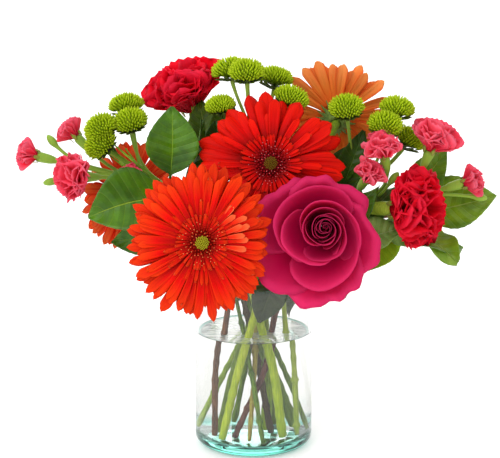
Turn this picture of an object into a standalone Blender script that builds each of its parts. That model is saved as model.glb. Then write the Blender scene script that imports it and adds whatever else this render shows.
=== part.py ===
"""A bouquet of cut flowers standing in a clear glass vase of water.

Metres, +Z up. The origin is the middle of the vase's underside, and the front of the bouquet faces -Y.
Heads, forks and leaf tips are measured from the middle of the vase's rim, so the bouquet follows the vase.
"""

import math

import bmesh
import bpy
import numpy as np
from mathutils import Vector

# Vase and water
VASE_DIAMETER = 0.102
VASE_HEIGHT = 0.147
VASE_WALL = 0.0028
VASE_FLOOR = 0.009
FOOT_CORNER = 0.010
INNER_CORNER = 0.005
RIM_ROUNDING = 0.0009
WATER_LEVEL = 0.101
VASE_SEGMENTS = 48

# What touches keeps this much clear
GAP = 0.0003

# Flower heads
GERBERA_DIAMETER = 0.115
GERBERA_BACK_DIAMETER = 0.100
GERBERA_DISC = 0.027
ROSE_DIAMETER = 0.098
CARNATION_DIAMETER = 0.068
POM_DIAMETER = 0.027
PETAL_THICKNESS = 0.0012
LEAF_THICKNESS = 0.0008

# Stems
GERBERA_STEM = 0.0070
ROSE_STEM = 0.0064
CARNATION_STEM = 0.0044
SPRAY_STEM = 0.0038
POM_STEM = 0.0036
TWIG = 0.0048
BRANCH_SHARE = 0.6
NECK_RISE = 0.010
STEM_SIDES = 8
BRANCH_SIDES = 6
STEM_SPACE = 0.0012

WATER_RADIUS = VASE_DIAMETER / 2 - VASE_WALL - GAP

ROSE_PLACE = (0.055, -0.072, 0.056)
ROSE_FACING = (0.10, -0.93, 0.30)

# The front gerbera's rays lie this far over the rose's left edge, in front of it
FRONT_OVERLAP = 0.0095
FRONT_X = ROSE_PLACE[0] - (ROSE_DIAMETER + GERBERA_DIAMETER) / 2 + FRONT_OVERLAP
# The upper gerbera's lowest ray clears the rose's stem at this height over the rim
UPPER_CLEAR = 0.0475
UPPER_Z = UPPER_CLEAR + GERBERA_DIAMETER / 2
UPPER_TOP = UPPER_Z + GERBERA_DIAMETER / 2

# Gerberas: middle of the head, the way it faces, diameter, rays
GERBERAS = {
    "gerbera_front": ((FRONT_X, -0.094, 0.052), (0.15, -0.96, 0.15), GERBERA_DIAMETER, 24),
    "gerbera_upper": ((0.014, -0.030, UPPER_Z), (0.02, -0.95, 0.22), GERBERA_DIAMETER, 20),
    "gerbera_peach": ((0.072, 0.037, 0.135), (0.10, 0.96, 0.24), GERBERA_BACK_DIAMETER, 20),
    "gerbera_left": ((-0.110, 0.048, 0.064), (-0.60, 0.75, 0.10), GERBERA_BACK_DIAMETER, 20),
}
RAY_COLOURS = {
    "gerbera_front": (0.95, 0.07, 0.01),
    "gerbera_upper": (0.80, 0.015, 0.005),
    "gerbera_peach": (0.90, 0.28, 0.09),
    "gerbera_left": (0.85, 0.12, 0.02),
}

# Carnations: middle of the bloom, the way it faces
CARNATIONS = {
    "carnation_back": ((-0.062, 0.046, 0.161), (-0.40, -0.05, 0.90)),
    "carnation_right": ((0.139, -0.020, 0.065), (0.85, -0.50, 0.10)),
}

# Sprays of small carnations. Blooms: middle, facing, diameter, share of the first bloom's stalk where it
# branches off. Buds: tip, facing, the same share.
SPRAYS = {
    "spray_left": (
        (
            ((-0.192, 0.000, 0.108), (-0.93, -0.15, 0.25), 0.023, None),
            ((-0.158, 0.020, 0.126), (-0.70, 0.10, 0.70), 0.024, 0.58),
            ((-0.152, -0.028, 0.094), (-0.70, -0.68, 0.15), 0.038, 0.46),
            ((-0.104, -0.012, 0.092), (-0.25, -0.60, 0.75), 0.020, 0.35),
        ),
        (
            ((-0.176, 0.012, 0.122), (-0.60, 0.15, 0.70), 0.72),
            ((-0.178, -0.006, 0.084), (-0.90, -0.30, -0.15), 0.62),
        ),
    ),
    "spray_right": (
        (
            ((0.189, 0.018, 0.082), (0.93, -0.10, 0.30), 0.024, None),
            ((0.155, -0.002, 0.124), (0.35, -0.15, 0.90), 0.040, 0.62),
            ((0.107, -0.028, 0.119), (-0.20, -0.45, 0.87), 0.028, 0.46),
            ((0.097, -0.028, 0.097), (0.30, -0.60, 0.65), 0.023, 0.32),
        ),
        (
            ((0.122, -0.012, 0.094), (0.60, -0.20, 0.80), 0.54),
            ((0.202, 0.020, 0.066), (0.80, 0.00, -0.10), 0.74),
        ),
    ),
}

# Sprays of button poms: middle, facing, share of the first pom's stalk where it branches off
POMS = {
    "poms_left": (
        ((-0.130, -0.002, 0.118), (-0.55, -0.45, 0.60), None),
        ((-0.105, 0.006, 0.136), (-0.20, -0.35, 0.90), 0.70),
        ((-0.110, 0.032, 0.146), (-0.15, 0.10, 0.95), 0.62),
    ),
    "poms_centre": (
        ((-0.006, -0.003, UPPER_TOP + 0.0165), (-0.05, -0.25, 0.95), None),
        ((-0.021, 0.021, UPPER_TOP + 0.0155), (-0.25, 0.10, 0.95), 0.66),
        ((0.019, 0.034, UPPER_TOP + 0.0065), (0.15, 0.20, 0.95), 0.62),
        ((0.032, 0.003, UPPER_TOP - 0.0065), (0.30, -0.10, 0.90), 0.54),
    ),
    "poms_right": (
        ((0.134, 0.028, 0.117), (0.50, 0.05, 0.85), None),
        ((0.078, -0.005, 0.149), (-0.10, -0.35, 0.90), 0.52),
        ((0.111, -0.008, 0.135), (0.10, -0.35, 0.90), 0.62),
        ((0.122, 0.011, 0.146), (0.15, -0.05, 0.95), 0.70),
    ),
}

# Twigs: the tip and the way it points
TWIGS = {
    "twig_left": ((-0.074, -0.012, 0.088), (-0.25, 0.00, 0.95)),
    "twig_centre": ((-0.034, 0.020, 0.088), (-0.15, 0.10, 0.95)),
    "twig_right": ((0.138, 0.036, 0.054), (0.90, 0.00, 0.40)),
}

# The leaf in the neck hangs this share of the way from the rim to the water, this far inside the glass
NECK_LEAF_DIP = -0.65 * (VASE_HEIGHT - WATER_LEVEL)
NECK_LEAF_Y = 0.012 - WATER_RADIUS

# Leaves: the stem it grows on, the share of the way from the rim to the top of that stem, tip of the
# blade, width, the way its upper face looks, how far its middle bows that way
LEAVES = {
    "leaf_upright_left": ("twig_left", 1.00, (-0.068, -0.018, 0.151), 0.042, (0.05, -0.95, 0.15), 0.004),
    "leaf_broad_left": ("twig_left", 0.72, (-0.138, -0.038, 0.060), 0.053, (-0.15, -0.90, 0.40), 0.010),
    "leaf_rolled_left": ("twig_left", 0.70, (-0.042, 0.002, 0.137), 0.020, (0.90, -0.40, 0.10), 0.002),
    "leaf_dark_centre": ("twig_centre", 1.00, (-0.033, 0.022, 0.134), 0.030, (0.30, -0.90, 0.10), 0.004),
    "leaf_in_neck": ("rose", 0.14, (0.004, NECK_LEAF_Y, NECK_LEAF_DIP), 0.026, (0.00, -0.95, 0.20), 0.004),
    "leaf_upper_right": ("twig_right", 0.97, (0.168, 0.040, 0.104), 0.025, (-0.30, -0.90, 0.20), 0.004),
    "leaf_far_right": ("twig_right", 1.00, (0.212, 0.034, 0.068), 0.036, (-0.05, -0.80, 0.60), -0.005),
    "leaf_wavy_right": ("twig_right", 0.78, (0.174, -0.015, 0.017), 0.028, (0.00, -0.45, 0.90), 0.006),
    "leaf_light_right": ("twig_right", 0.72, (0.092, -0.016, 0.009), 0.030, (0.30, -0.85, 0.35), 0.004),
    "leaf_inner_right": ("twig_right", 0.34, (0.104, -0.028, 0.084), 0.024, (0.30, -0.90, 0.10), 0.004),
    "leaf_low_right": ("twig_right", 0.40, (0.077, -0.030, -0.010), 0.028, (0.10, -0.60, 0.80), 0.004),
}

# Main stems: thickness, where it stands in the vase and where it passes the rim, as shares of the room
# inside the glass
STEMS = {
    "gerbera_front": (GERBERA_STEM, (0.60, -0.40), (-0.12, -0.46)),
    "gerbera_upper": (GERBERA_STEM, (0.30, 0.50), (0.10, -0.04)),
    "gerbera_peach": (GERBERA_STEM, (-0.60, -0.05), (0.26, 0.16)),
    "gerbera_left": (GERBERA_STEM, (0.66, 0.40), (-0.42, 0.18)),
    "rose": (ROSE_STEM, (-0.64, -0.60), (0.28, -0.56)),
    "carnation_back": (CARNATION_STEM, (0.40, 0.78), (-0.22, 0.36)),
    "carnation_right": (CARNATION_STEM, (0.84, -0.24), (0.60, -0.20)),
    "spray_left": (SPRAY_STEM, (0.16, -0.88), (-0.36, -0.06)),
    "spray_right": (SPRAY_STEM, (-0.92, 0.10), (0.50, 0.46)),
    "poms_left": (POM_STEM, (0.90, 0.10), (-0.36, 0.46)),
    "poms_centre": (POM_STEM, (-0.16, -0.56), (0.02, 0.24)),
    "poms_right": (POM_STEM, (-0.30, 0.80), (0.32, 0.40)),
    "twig_left": (TWIG, (-0.76, -0.30), (-0.48, -0.40)),
    "twig_centre": (TWIG, (0.34, 0.06), (-0.28, -0.02)),
    "twig_right": (TWIG, (-0.44, -0.26), (0.62, 0.10)),
}


def clear_scene():
    for thing in list(bpy.data.objects):
        bpy.data.objects.remove(thing, do_unlink=True)


def from_rim(place):
    """A place measured from the middle of the rim, in the object's own frame."""
    return Vector(place) + Vector((0, 0, VASE_HEIGHT))


def paint(name, colour, roughness):
    """The piece's own plain material."""
    material = bpy.data.materials.new(name)
    material.use_nodes = True
    shader = material.node_tree.nodes["Principled BSDF"]
    shader.inputs["Base Color"].default_value = (*colour, 1)
    shader.inputs["Roughness"].default_value = roughness
    shader.inputs["Metallic"].default_value = 0
    return material


def add_piece(name, bm, colour, roughness=0.6, place=None, facing=None):
    """Put a mesh into the scene as a named piece, its own +Z turned to where it faces."""
    bmesh.ops.recalc_face_normals(bm, faces=bm.faces)
    mesh = bpy.data.meshes.new(name)
    bm.to_mesh(mesh)
    bm.free()
    mesh.shade_smooth()
    mesh.set_sharp_from_angle(angle=math.radians(50))
    piece = bpy.data.objects.new(name, mesh)
    piece.data.materials.append(paint(name, colour, roughness))
    bpy.context.scene.collection.objects.link(piece)
    if place is not None:
        piece.location = place
        piece.rotation_mode = "QUATERNION"
        piece.rotation_quaternion = Vector(facing).to_track_quat("Z", "Y")
    return piece


def hide_helper(piece):
    piece.hide_render = True
    piece.display_type = "WIRE"


def combine(piece, helper, operation):
    """Join a helper to a piece, or cut the piece with it."""
    hide_helper(helper)
    modifier = piece.modifiers.new(operation.lower(), "BOOLEAN")
    modifier.operation = operation
    modifier.solver = "EXACT"
    modifier.object = helper


def arc(centre, radius, start, end, steps):
    """Points of an arc in a profile, between two angles in degrees."""
    angles = np.radians(np.linspace(start, end, steps + 1))
    return [(centre[0] + radius * math.cos(a), centre[1] + radius * math.sin(a)) for a in angles]


def turned(profile, segments, ruffle=0.0):
    """A solid turned about Z. The profile runs from one end of the axis to the other; ruffle pushes every
    other column in and out, as a share of its radius."""
    bm = bmesh.new()
    rings = []
    for radius, height in profile:
        if radius == 0:
            rings.append([bm.verts.new((0, 0, height))] * segments)
            continue
        ring = []
        for i in range(segments):
            reach = radius * (1 + ruffle * (-1) ** i)
            angle = 2 * math.pi * i / segments
            ring.append(bm.verts.new((reach * math.cos(angle), reach * math.sin(angle), height)))
        rings.append(ring)
    for low, high in zip(rings, rings[1:]):
        for i in range(segments):
            j = (i + 1) % segments
            corners = dict.fromkeys((low[i], low[j], high[j], high[i]))
            bm.faces.new(corners)
    return bm


def tube(points, radii, sides=STEM_SIDES):
    """A closed tube along a route, with a radius at each point."""
    bm = bmesh.new()
    ways = [(b - a).normalized() for a, b in zip(points, points[1:])]
    ways = [ways[0]] + [(a + b).normalized() for a, b in zip(ways, ways[1:])] + [ways[-1]]
    side = ways[0].orthogonal().normalized()
    rings = []
    for point, way, radius in zip(points, ways, radii):
        side = (side - way * side.dot(way)).normalized()
        other = way.cross(side)
        ring = []
        for i in range(sides):
            angle = 2 * math.pi * i / sides
            ring.append(bm.verts.new(point + radius * (math.cos(angle) * side + math.sin(angle) * other)))
        rings.append(ring)
    for low, high in zip(rings, rings[1:]):
        for i in range(sides):
            j = (i + 1) % sides
            bm.faces.new((low[i], low[j], high[j], high[i]))
    bm.faces.new(rings[0][::-1])
    bm.faces.new(rings[-1])
    return bm


def bend(start, start_way, end, end_way, steps):
    """Points of one smooth bend, without its first, that leaves and arrives along the given ways."""
    span = (end - start).length
    first = start + start_way * span * 0.42
    second = end - end_way * span * 0.30
    points = []
    for i in range(1, steps + 1):
        t = i / steps
        s = 1 - t
        points.append(s**3 * start + 3 * s * s * t * first + 3 * s * t * t * second + t**3 * end)
    return points


def arrange_stems():
    """Foot and rim spots of the straight lower stems, moved sideways until no two touch and all stay
    inside the glass."""
    rounds = 400
    slices = 30
    names = list(STEMS)
    thick = np.array([STEMS[n][0] for n in names])
    foot_room = WATER_RADIUS - INNER_CORNER - thick
    rim_room = WATER_RADIUS - 0.004 - thick
    feet = np.array([STEMS[n][1] for n in names]) * foot_room[:, None]
    necks = np.array([STEMS[n][2] for n in names]) * rim_room[:, None]
    share = np.linspace(0, 1, slices)[:, None, None]
    lean = 1.12
    needed = (thick[:, None] + thick[None, :]) / 2 * lean + STEM_SPACE
    for _ in range(rounds):
        spots = feet * (1 - share) + necks * share
        apart = spots[:, :, None] - spots[:, None]
        distance = np.linalg.norm(apart, axis=-1) + np.eye(len(names))
        short = np.clip(needed - distance, 0, None) * (1 - np.eye(len(names)))
        push = (short / distance)[..., None] * apart * 0.25
        step = push.sum(axis=2)
        feet += (step * (1 - share)).max(axis=0) + (step * (1 - share)).min(axis=0)
        necks += (step * share).max(axis=0) + (step * share).min(axis=0)
        for ends, room in ((feet, foot_room), (necks, rim_room)):
            out = np.linalg.norm(ends, axis=1) / room
            ends /= np.maximum(out, 1)[:, None]
    return {n: (feet[i], necks[i]) for i, n in enumerate(names)}


def lower_stem(name, spots):
    """The straight part of a main stem, from its cut end on the glass floor to just above the rim."""
    foot, neck = spots[name]
    run = np.linalg.norm(neck - foot)
    rise = VASE_HEIGHT + NECK_RISE - VASE_FLOOR
    clear = VASE_FLOOR + 2 * GAP + STEMS[name][0] / 2 * run / math.hypot(run, rise)
    return Vector((*foot, clear)), Vector((*neck, VASE_HEIGHT + NECK_RISE))


def stalk(start, start_way, seat, facing, radius, cup, steps):
    """Route and radii from a start point to a head's seat. The cup is the calyx under the head: pairs of
    distance below the seat and radius."""
    facing = Vector(facing).normalized()
    points = bend(start, start_way, seat - facing * cup[0][0], facing, steps)
    radii = [radius] * (steps - 1) + [cup[0][1]]
    for below, wide in cup[1:]:
        points.append(seat - facing * below)
        radii.append(wide)
    return points, radii


def main_stem(name, spots, seat, facing, cup, steps=6):
    """Route and radii of a whole main stem, from its cut end to the seat of its head."""
    foot, neck = lower_stem(name, spots)
    radius = STEMS[name][0] / 2
    way = (neck - foot).normalized()
    points, radii = stalk(neck, way, seat, facing, radius, cup, steps)
    return [foot, neck] + points, [radius, radius] + radii


def whorl(count, rings, petals):
    """A one-sheet whorl of petals about Z. Rings are (radius, height) and run all round; petal rows are
    (radius, height, share of the petal's room that it fills)."""
    bm = bmesh.new()
    room = math.pi / count

    def spot(radius, angle, height):
        return bm.verts.new((radius * math.cos(angle), radius * math.sin(angle), height))

    circles = [[spot(r, i * room, z) for i in range(2 * count)] for r, z in rings]
    for low, high in zip(circles, circles[1:]):
        for i in range(2 * count):
            j = (i + 1) % (2 * count)
            bm.faces.new((low[i], low[j], high[j], high[i]))
    last = circles[-1]
    for k in range(count):
        low = [last[2 * k], last[2 * k + 1], last[(2 * k + 2) % (2 * count)]]
        middle = (2 * k + 1) * room
        for r, z, fill in petals:
            high = [spot(r, middle + turn * fill * room, z) for turn in (-1, 0, 1)]
            for i in range(2):
                bm.faces.new((low[i], low[i + 1], high[i + 1], high[i]))
            low = high
    return bm


def thicken(piece, thickness):
    modifier = piece.modifiers.new("thickness", "SOLIDIFY")
    modifier.thickness = thickness
    modifier.offset = 0


def leaf_blade(base, tip, width, face, bow):
    """A folded, bowed blade on a short stalk, as one sheet from its base to its tip."""
    along = tip - base
    length = along.length
    along.normalize()
    face = Vector(face)
    face = (face - along * face.dot(along)).normalized()
    side = along.cross(face)
    stalk_half = 0.0012
    outline = (0.0, 0.10, 0.20, 0.34, 0.50, 0.66, 0.80, 0.92, 1.0)
    bm = bmesh.new()
    rows = []
    for t in outline:
        grown = max(t - 0.10, 0) / 0.90
        half = max(width / 2 * math.sin(math.pi * grown**0.85) ** 0.8, stalk_half)
        middle = base + along * length * t + face * bow * math.sin(math.pi * t)
        row = []
        for across in (-1, -0.5, 0, 0.5, 1):
            lift = 0.22 * abs(across) * (half - stalk_half)
            row.append(bm.verts.new(middle + side * across * half + face * lift))
        rows.append(row)
    for low, high in zip(rows, rows[1:]):
        for i in range(4):
            bm.faces.new((low[i], low[i + 1], high[i + 1], high[i]))
    return bm


def ruffled_bloom(diameter, segments):
    """A carnation's bloom: a narrow base opening to a ruffled dome. Its seat is at the origin."""
    r = diameter / 2
    tall = bloom_height(diameter)
    profile = [(0, 0), (0.22 * r, 0), (0.70 * r, 0.26 * tall), (r, 0.50 * tall), (0.80 * r, 0.62 * tall)]
    profile += [(0.84 * r, 0.78 * tall), (0.54 * r, 0.84 * tall), (0.46 * r, 0.98 * tall), (0, tall)]
    return turned(profile, segments, ruffle=0.06)


def bloom_height(diameter):
    return 0.70 * diameter


def add_vase():
    r = VASE_DIAMETER / 2
    inner = r - VASE_WALL
    lip = RIM_ROUNDING
    profile = [(0, 0), (r - FOOT_CORNER, 0)]
    profile += arc((r - FOOT_CORNER, FOOT_CORNER), FOOT_CORNER, -60, 0, 3)
    profile += arc((r - lip, VASE_HEIGHT - lip), lip, 0, 90, 1)
    profile += arc((inner + lip, VASE_HEIGHT - lip), lip, 90, 180, 1)
    profile += arc((inner - INNER_CORNER, VASE_FLOOR + INNER_CORNER), INNER_CORNER, 0, -90, 2)
    profile += [(0, VASE_FLOOR)]
    add_piece("vase", turned(profile, VASE_SEGMENTS), (0.80, 0.92, 0.90), 0.05)


def add_water(spots):
    """Fills the glass around the stems, up to its level."""
    profile = [(0, VASE_FLOOR + GAP)]
    profile += arc((WATER_RADIUS - INNER_CORNER, VASE_FLOOR + GAP + INNER_CORNER), INNER_CORNER, -90, 0, 2)
    profile += [(WATER_RADIUS, WATER_LEVEL), (0, WATER_LEVEL)]
    water = add_piece("water", turned(profile, VASE_SEGMENTS), (0.75, 0.90, 0.90), 0.02)
    for name in STEMS:
        foot, neck = lower_stem(name, spots)
        way = (neck - foot).normalized()
        radius = STEMS[name][0] / 2 + 1.3 * GAP
        bore = add_piece(name + "_bore", tube([foot - way * GAP, neck], [radius, radius]), (1, 1, 1))
        combine(water, bore, "DIFFERENCE")


def add_gerbera(name, spots):
    """Bare stem with its green calyx, one whorl of rays, and the disc in front of them."""
    place, facing, diameter, rays = GERBERAS[name]
    middle = from_rim(place)
    way = Vector(facing).normalized()
    r = diameter / 2
    disc = GERBERA_DISC / 2
    hole = disc * 0.5
    rings = [(hole, 0), (disc * 1.5, 0)]
    petals = [(0.72 * r, 0.002, 0.94), (r, -0.0035, 0.40)]
    shape = whorl(rays, rings, petals)
    sheet = add_piece(name + "_rays", shape, RAY_COLOURS[name], 0.55, middle, way)
    thicken(sheet, PETAL_THICKNESS)
    front = PETAL_THICKNESS / 2 + GAP
    profile = [(0, front), (0.85 * disc, front), (disc, front + 0.002)]
    profile += [(0.70 * disc, front + 0.0045), (0, front + 0.004)]
    add_piece(name + "_disc", turned(profile, 12), (0.20, 0.02, 0.02), 0.8, middle, way)
    bare = STEMS[name][0] / 2
    cup = ((0.018, bare), (0.011, 0.40 * disc), (0.005, 0.82 * disc), (0, 0.90 * disc))
    seat = middle - way * (PETAL_THICKNESS / 2 + GAP)
    points, radii = main_stem(name, spots, seat, way, cup)
    add_piece(name + "_stem", tube(points, radii), (0.36, 0.52, 0.08), 0.5)


def add_rose(spots):
    """Stem with its green cup, a whorl of outer petals, a whorl of inner petals, and the rolled heart."""
    middle = from_rim(ROSE_PLACE)
    way = Vector(ROSE_FACING).normalized()
    r = ROSE_DIAMETER / 2
    thick = 2.4 * PETAL_THICKNESS
    outer_rings = [(0.10 * r, -0.46 * r), (0.48 * r, -0.42 * r)]
    outer_petals = [(0.78 * r, -0.22 * r, 0.97), (0.97 * r, -0.06 * r, 0.86), (r, -0.05 * r, 0.30)]
    shape = whorl(6, outer_rings, outer_petals)
    outer = add_piece("rose_outer_petals", shape, (0.80, 0.02, 0.14), 0.5, middle, way)
    thicken(outer, thick)
    inner_rings = [(0.10 * r, -0.34 * r), (0.42 * r, -0.24 * r)]
    inner_petals = [(0.64 * r, 0.06 * r, 0.97), (0.68 * r, 0.26 * r, 0.55)]
    shape = whorl(5, inner_rings, inner_petals)
    inner = add_piece("rose_inner_petals", shape, (0.72, 0.01, 0.10), 0.5, middle, way)
    thicken(inner, thick)
    heart = [(0, -0.18 * r), (0.24 * r, -0.12 * r), (0.38 * r, 0.10 * r), (0.34 * r, 0.34 * r)]
    heart += [(0.20 * r, 0.40 * r), (0, 0.36 * r)]
    add_piece("rose_heart", turned(heart, 12), (0.45, 0.0, 0.04), 0.5, middle, way)
    bare = STEMS["rose"][0] / 2
    cup = ((0.020, bare), (0.012, 2.4 * bare), (0.003, 2.8 * bare), (0, 2.2 * bare))
    seat = middle - way * (0.46 * r + thick / 2 + 2 * GAP)
    points, radii = main_stem("rose", spots, seat, way, cup)
    add_piece("rose_stem", tube(points, radii), (0.25, 0.38, 0.06), 0.5)
    return points


def add_carnation(name, spots):
    """A thin stem that ends in the tall green calyx, and the ruffled bloom it holds."""
    place, facing = CARNATIONS[name]
    way = Vector(facing).normalized()
    seat = from_rim(place) - way * bloom_height(CARNATION_DIAMETER) * 0.5
    add_piece(name + "_bloom", ruffled_bloom(CARNATION_DIAMETER, 16), (0.70, 0.0, 0.015), 0.7, seat, way)
    bare = STEMS[name][0] / 2
    cup = ((0.030, bare), (0.026, 0.0052), (0.014, 0.0062), (0, 0.0072))
    points, radii = main_stem(name, spots, seat - way * GAP, way, cup)
    add_piece(name + "_stem", tube(points, radii), (0.36, 0.50, 0.12), 0.5)


def add_branches(stem, points, start, branches, radius):
    """Join side stalks to a stem. Each leaves the main route at its own share of it."""
    for seat, way, cup, share in branches:
        place = start + share * (len(points) - 1 - start)
        low = int(place)
        fork = points[low].lerp(points[low + 1], place - low)
        along = (points[low + 1] - points[low]).normalized()
        route, radii = stalk(fork, along, seat, way, radius, cup, 4)
        shape = tube([fork] + route, [radius] + radii, BRANCH_SIDES)
        helper = add_piece(stem.name + "_branch", shape, (0.3, 0.5, 0.1))
        combine(stem, helper, "UNION")


def add_spray(name, spots):
    """A branched stem with a calyx under each small bloom and closed buds, and its blooms."""
    blooms, buds = SPRAYS[name]
    branches = []
    for i, (place, facing, diameter, share) in enumerate(blooms):
        way = Vector(facing).normalized()
        seat = from_rim(place) - way * bloom_height(diameter) * 0.5
        label = f"{name}_bloom_{i + 1}"
        add_piece(label, ruffled_bloom(diameter, 12), (0.80, 0.04, 0.09), 0.7, seat, way)
        cup = ((0.017, 0.0012), (0.014, 0.0036), (0.006, 0.0042), (0, 0.11 * diameter + 0.002))
        branches.append((seat - way * GAP, way, cup, share))
    bud = ((0.012, 0.0010), (0.009, 0.0034), (0.004, 0.0036), (0, 0.0010))
    branches += [(from_rim(tip), Vector(facing).normalized(), bud, share) for tip, facing, share in buds]
    add_branched_stem(name, spots, branches, (0.34, 0.52, 0.10))


def add_branched_stem(name, spots, branches, colour):
    """The first branch carries on from the main stem, and the others leave it."""
    seat, way, cup, _ = branches[0]
    points, radii = main_stem(name, spots, seat, way, cup)
    bare = STEMS[name][0] / 2
    thin = bare * BRANCH_SHARE
    stem = add_piece(name + "_stem", tube(points, radii), colour, 0.5)
    add_branches(stem, points[:8], 1, branches[1:], thin)


def add_poms(name, spots):
    """A branched stem and its domed, button-like heads."""
    r = POM_DIAMETER / 2
    tall = 1.25 * r
    profile = [(0, 0), (0.60 * r, 0), (r, 0.34 * tall)]
    profile += [(0.94 * r, 0.60 * tall), (0.60 * r, 0.90 * tall), (0, tall)]
    branches = []
    for i, (place, facing, share) in enumerate(POMS[name]):
        way = Vector(facing).normalized()
        seat = from_rim(place) - way * tall * 0.5
        add_piece(f"{name}_{i + 1}", turned(profile, 12), (0.42, 0.62, 0.02), 0.8, seat, way)
        cup = ((0.007, 0.0011), (0, 0.0022))
        branches.append((seat - way * 3 * GAP, way, cup, share))
    add_branched_stem(name, spots, branches, (0.30, 0.45, 0.08))


def add_twig(name, spots):
    """A bare woody twig."""
    tip, facing = TWIGS[name]
    bare = STEMS[name][0] / 2
    cup = ((0.004, 0.7 * bare), (0, 0.5 * bare))
    points, radii = main_stem(name, spots, from_rim(tip), Vector(facing).normalized(), cup)
    add_piece(name, tube(points, radii), (0.20, 0.12, 0.07), 0.8)
    return points


def add_leaf(name, routes):
    """A blade whose short stalk starts at the side of its stem."""
    stem, share, tip, width, face, bow = LEAVES[name]
    points = routes[stem]
    place = 1 + share * (len(points) - 2)
    low = min(int(place), len(points) - 2)
    joint = points[low].lerp(points[low + 1], place - low)
    along = (points[low + 1] - points[low]).normalized()
    target = from_rim(tip)
    away = target - joint
    away = (away - along * away.dot(along)).normalized()
    base = joint + away * (STEMS[stem][0] / 2 + 5 * GAP)
    blade = add_piece(name, leaf_blade(base, target, width, face, bow), (0.08, 0.20, 0.02), 0.35)
    thicken(blade, LEAF_THICKNESS)


def build():
    clear_scene()
    spots = arrange_stems()
    add_vase()
    add_water(spots)
    for name in GERBERAS:
        add_gerbera(name, spots)
    routes = {"rose": add_rose(spots)}
    for name in CARNATIONS:
        add_carnation(name, spots)
    for name in SPRAYS:
        add_spray(name, spots)
    for name in POMS:
        add_poms(name, spots)
    for name in TWIGS:
        routes[name] = add_twig(name, spots)
    for name in LEAVES:
        add_leaf(name, routes)


build()
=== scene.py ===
"""Cut gerberas, a rose, carnations, button poms and leaves in a clear glass vase of water."""

import math

import bpy
import numpy as np
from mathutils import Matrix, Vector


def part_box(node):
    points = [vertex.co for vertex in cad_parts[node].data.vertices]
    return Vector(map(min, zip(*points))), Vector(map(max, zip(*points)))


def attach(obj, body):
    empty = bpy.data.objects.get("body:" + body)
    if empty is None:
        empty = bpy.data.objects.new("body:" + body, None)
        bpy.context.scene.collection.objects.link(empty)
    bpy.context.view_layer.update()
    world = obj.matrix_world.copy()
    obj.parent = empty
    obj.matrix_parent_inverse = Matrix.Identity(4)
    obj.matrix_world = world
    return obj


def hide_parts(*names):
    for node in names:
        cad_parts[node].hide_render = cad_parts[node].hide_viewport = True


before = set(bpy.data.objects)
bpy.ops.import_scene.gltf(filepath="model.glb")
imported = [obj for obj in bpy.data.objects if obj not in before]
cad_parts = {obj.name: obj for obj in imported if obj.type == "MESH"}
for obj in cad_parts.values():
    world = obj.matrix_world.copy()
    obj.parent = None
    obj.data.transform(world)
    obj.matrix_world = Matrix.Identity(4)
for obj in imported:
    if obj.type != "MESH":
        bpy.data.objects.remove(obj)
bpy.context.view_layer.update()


# The vase is one piece of blown glass: a straight thin-walled cylinder with a rounded foot, a thick
# floor that gathers an aqua tint, and a fire-polished rim. It stands on its underside, which is
# pushed up a little in the middle.
VASE_WALL = 0.0028
VASE_FLOOR = 0.009
FOOT_ROUNDING = 0.0095
FLOOR_ROUNDING = 0.005
RIM_ROUNDING = 0.0009
KICK = 0.0016
KICK_RINGS = (0.010, 0.012)
ROUND_SIDES = 128
SAME_HEIGHT = 1e-5
GLASS_IOR = 1.42
GLASS_SHADOW_PASS = 0.85
GLASS_TINT = (0.30, 0.86, 0.78, 1)
GLASS_DEPTH = 9
WALL_TINT = (0.93, 0.91, 0.905, 1)
FOOT_TINT = (0.20, 0.70, 0.58, 1)
FOOT_TINT_HEIGHTS = (0.004, 0.016)
RIM_TINT = (0.55, 0.78, 0.74, 1)
RIM_TINT_DEPTHS = (0.0022, 0.0012)


def clear_selection():
    if bpy.context.mode != "OBJECT":
        bpy.ops.object.mode_set(mode="OBJECT")
    bpy.ops.object.select_all(action="DESELECT")


def make_active(piece):
    clear_selection()
    piece.select_set(True)
    bpy.context.view_layer.objects.active = piece


def pick(piece, kind, test):
    """Select in edit mode the faces or edges of a piece whose middle passes the test."""
    make_active(piece)
    bpy.ops.object.mode_set(mode="EDIT")
    bpy.ops.mesh.select_mode(type=kind)
    bpy.ops.mesh.select_all(action="DESELECT")
    bpy.ops.object.mode_set(mode="OBJECT")
    mesh = piece.data
    if kind == "FACE":
        for face in mesh.polygons:
            face.select = bool(test(face.center, face.normal))
    else:
        for edge in mesh.edges:
            ends = [mesh.vertices[i].co for i in edge.vertices]
            edge.select = bool(test((ends[0] + ends[1]) / 2, ends[1] - ends[0]))
    bpy.ops.object.mode_set(mode="EDIT")


def round_edges(offset, segments):
    bpy.ops.mesh.bevel(offset=offset, segments=segments, affect="EDGES", profile=0.5)


def settle(piece):
    """Leave edit mode and put the piece's place into its mesh."""
    make_active(piece)
    bpy.ops.object.transform_apply(location=True, rotation=True, scale=True)
    bpy.ops.object.shade_smooth_by_angle(angle=math.radians(40))


def add_round(name, radius, low, high):
    """A plain upright cylinder between two heights, to be shaped further."""
    clear_selection()
    bpy.ops.mesh.primitive_cylinder_add(
        vertices=ROUND_SIDES,
        radius=radius,
        depth=high - low,
        location=(0, 0, (high + low) / 2),
        end_fill_type="NGON",
    )
    piece = bpy.context.object
    piece.name = name
    settle(piece)
    return piece


def new_material(name):
    material = bpy.data.materials.new(name)
    material.use_nodes = True
    return material, material.node_tree, material.node_tree.nodes["Principled BSDF"]


def feed(node, values):
    """Give each named socket a plain value, or link it to another node's socket."""
    for slot, value in values.items():
        if isinstance(value, bpy.types.NodeSocket):
            node.id_data.links.new(value, node.inputs[slot])
        else:
            node.inputs[slot].default_value = value


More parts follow.
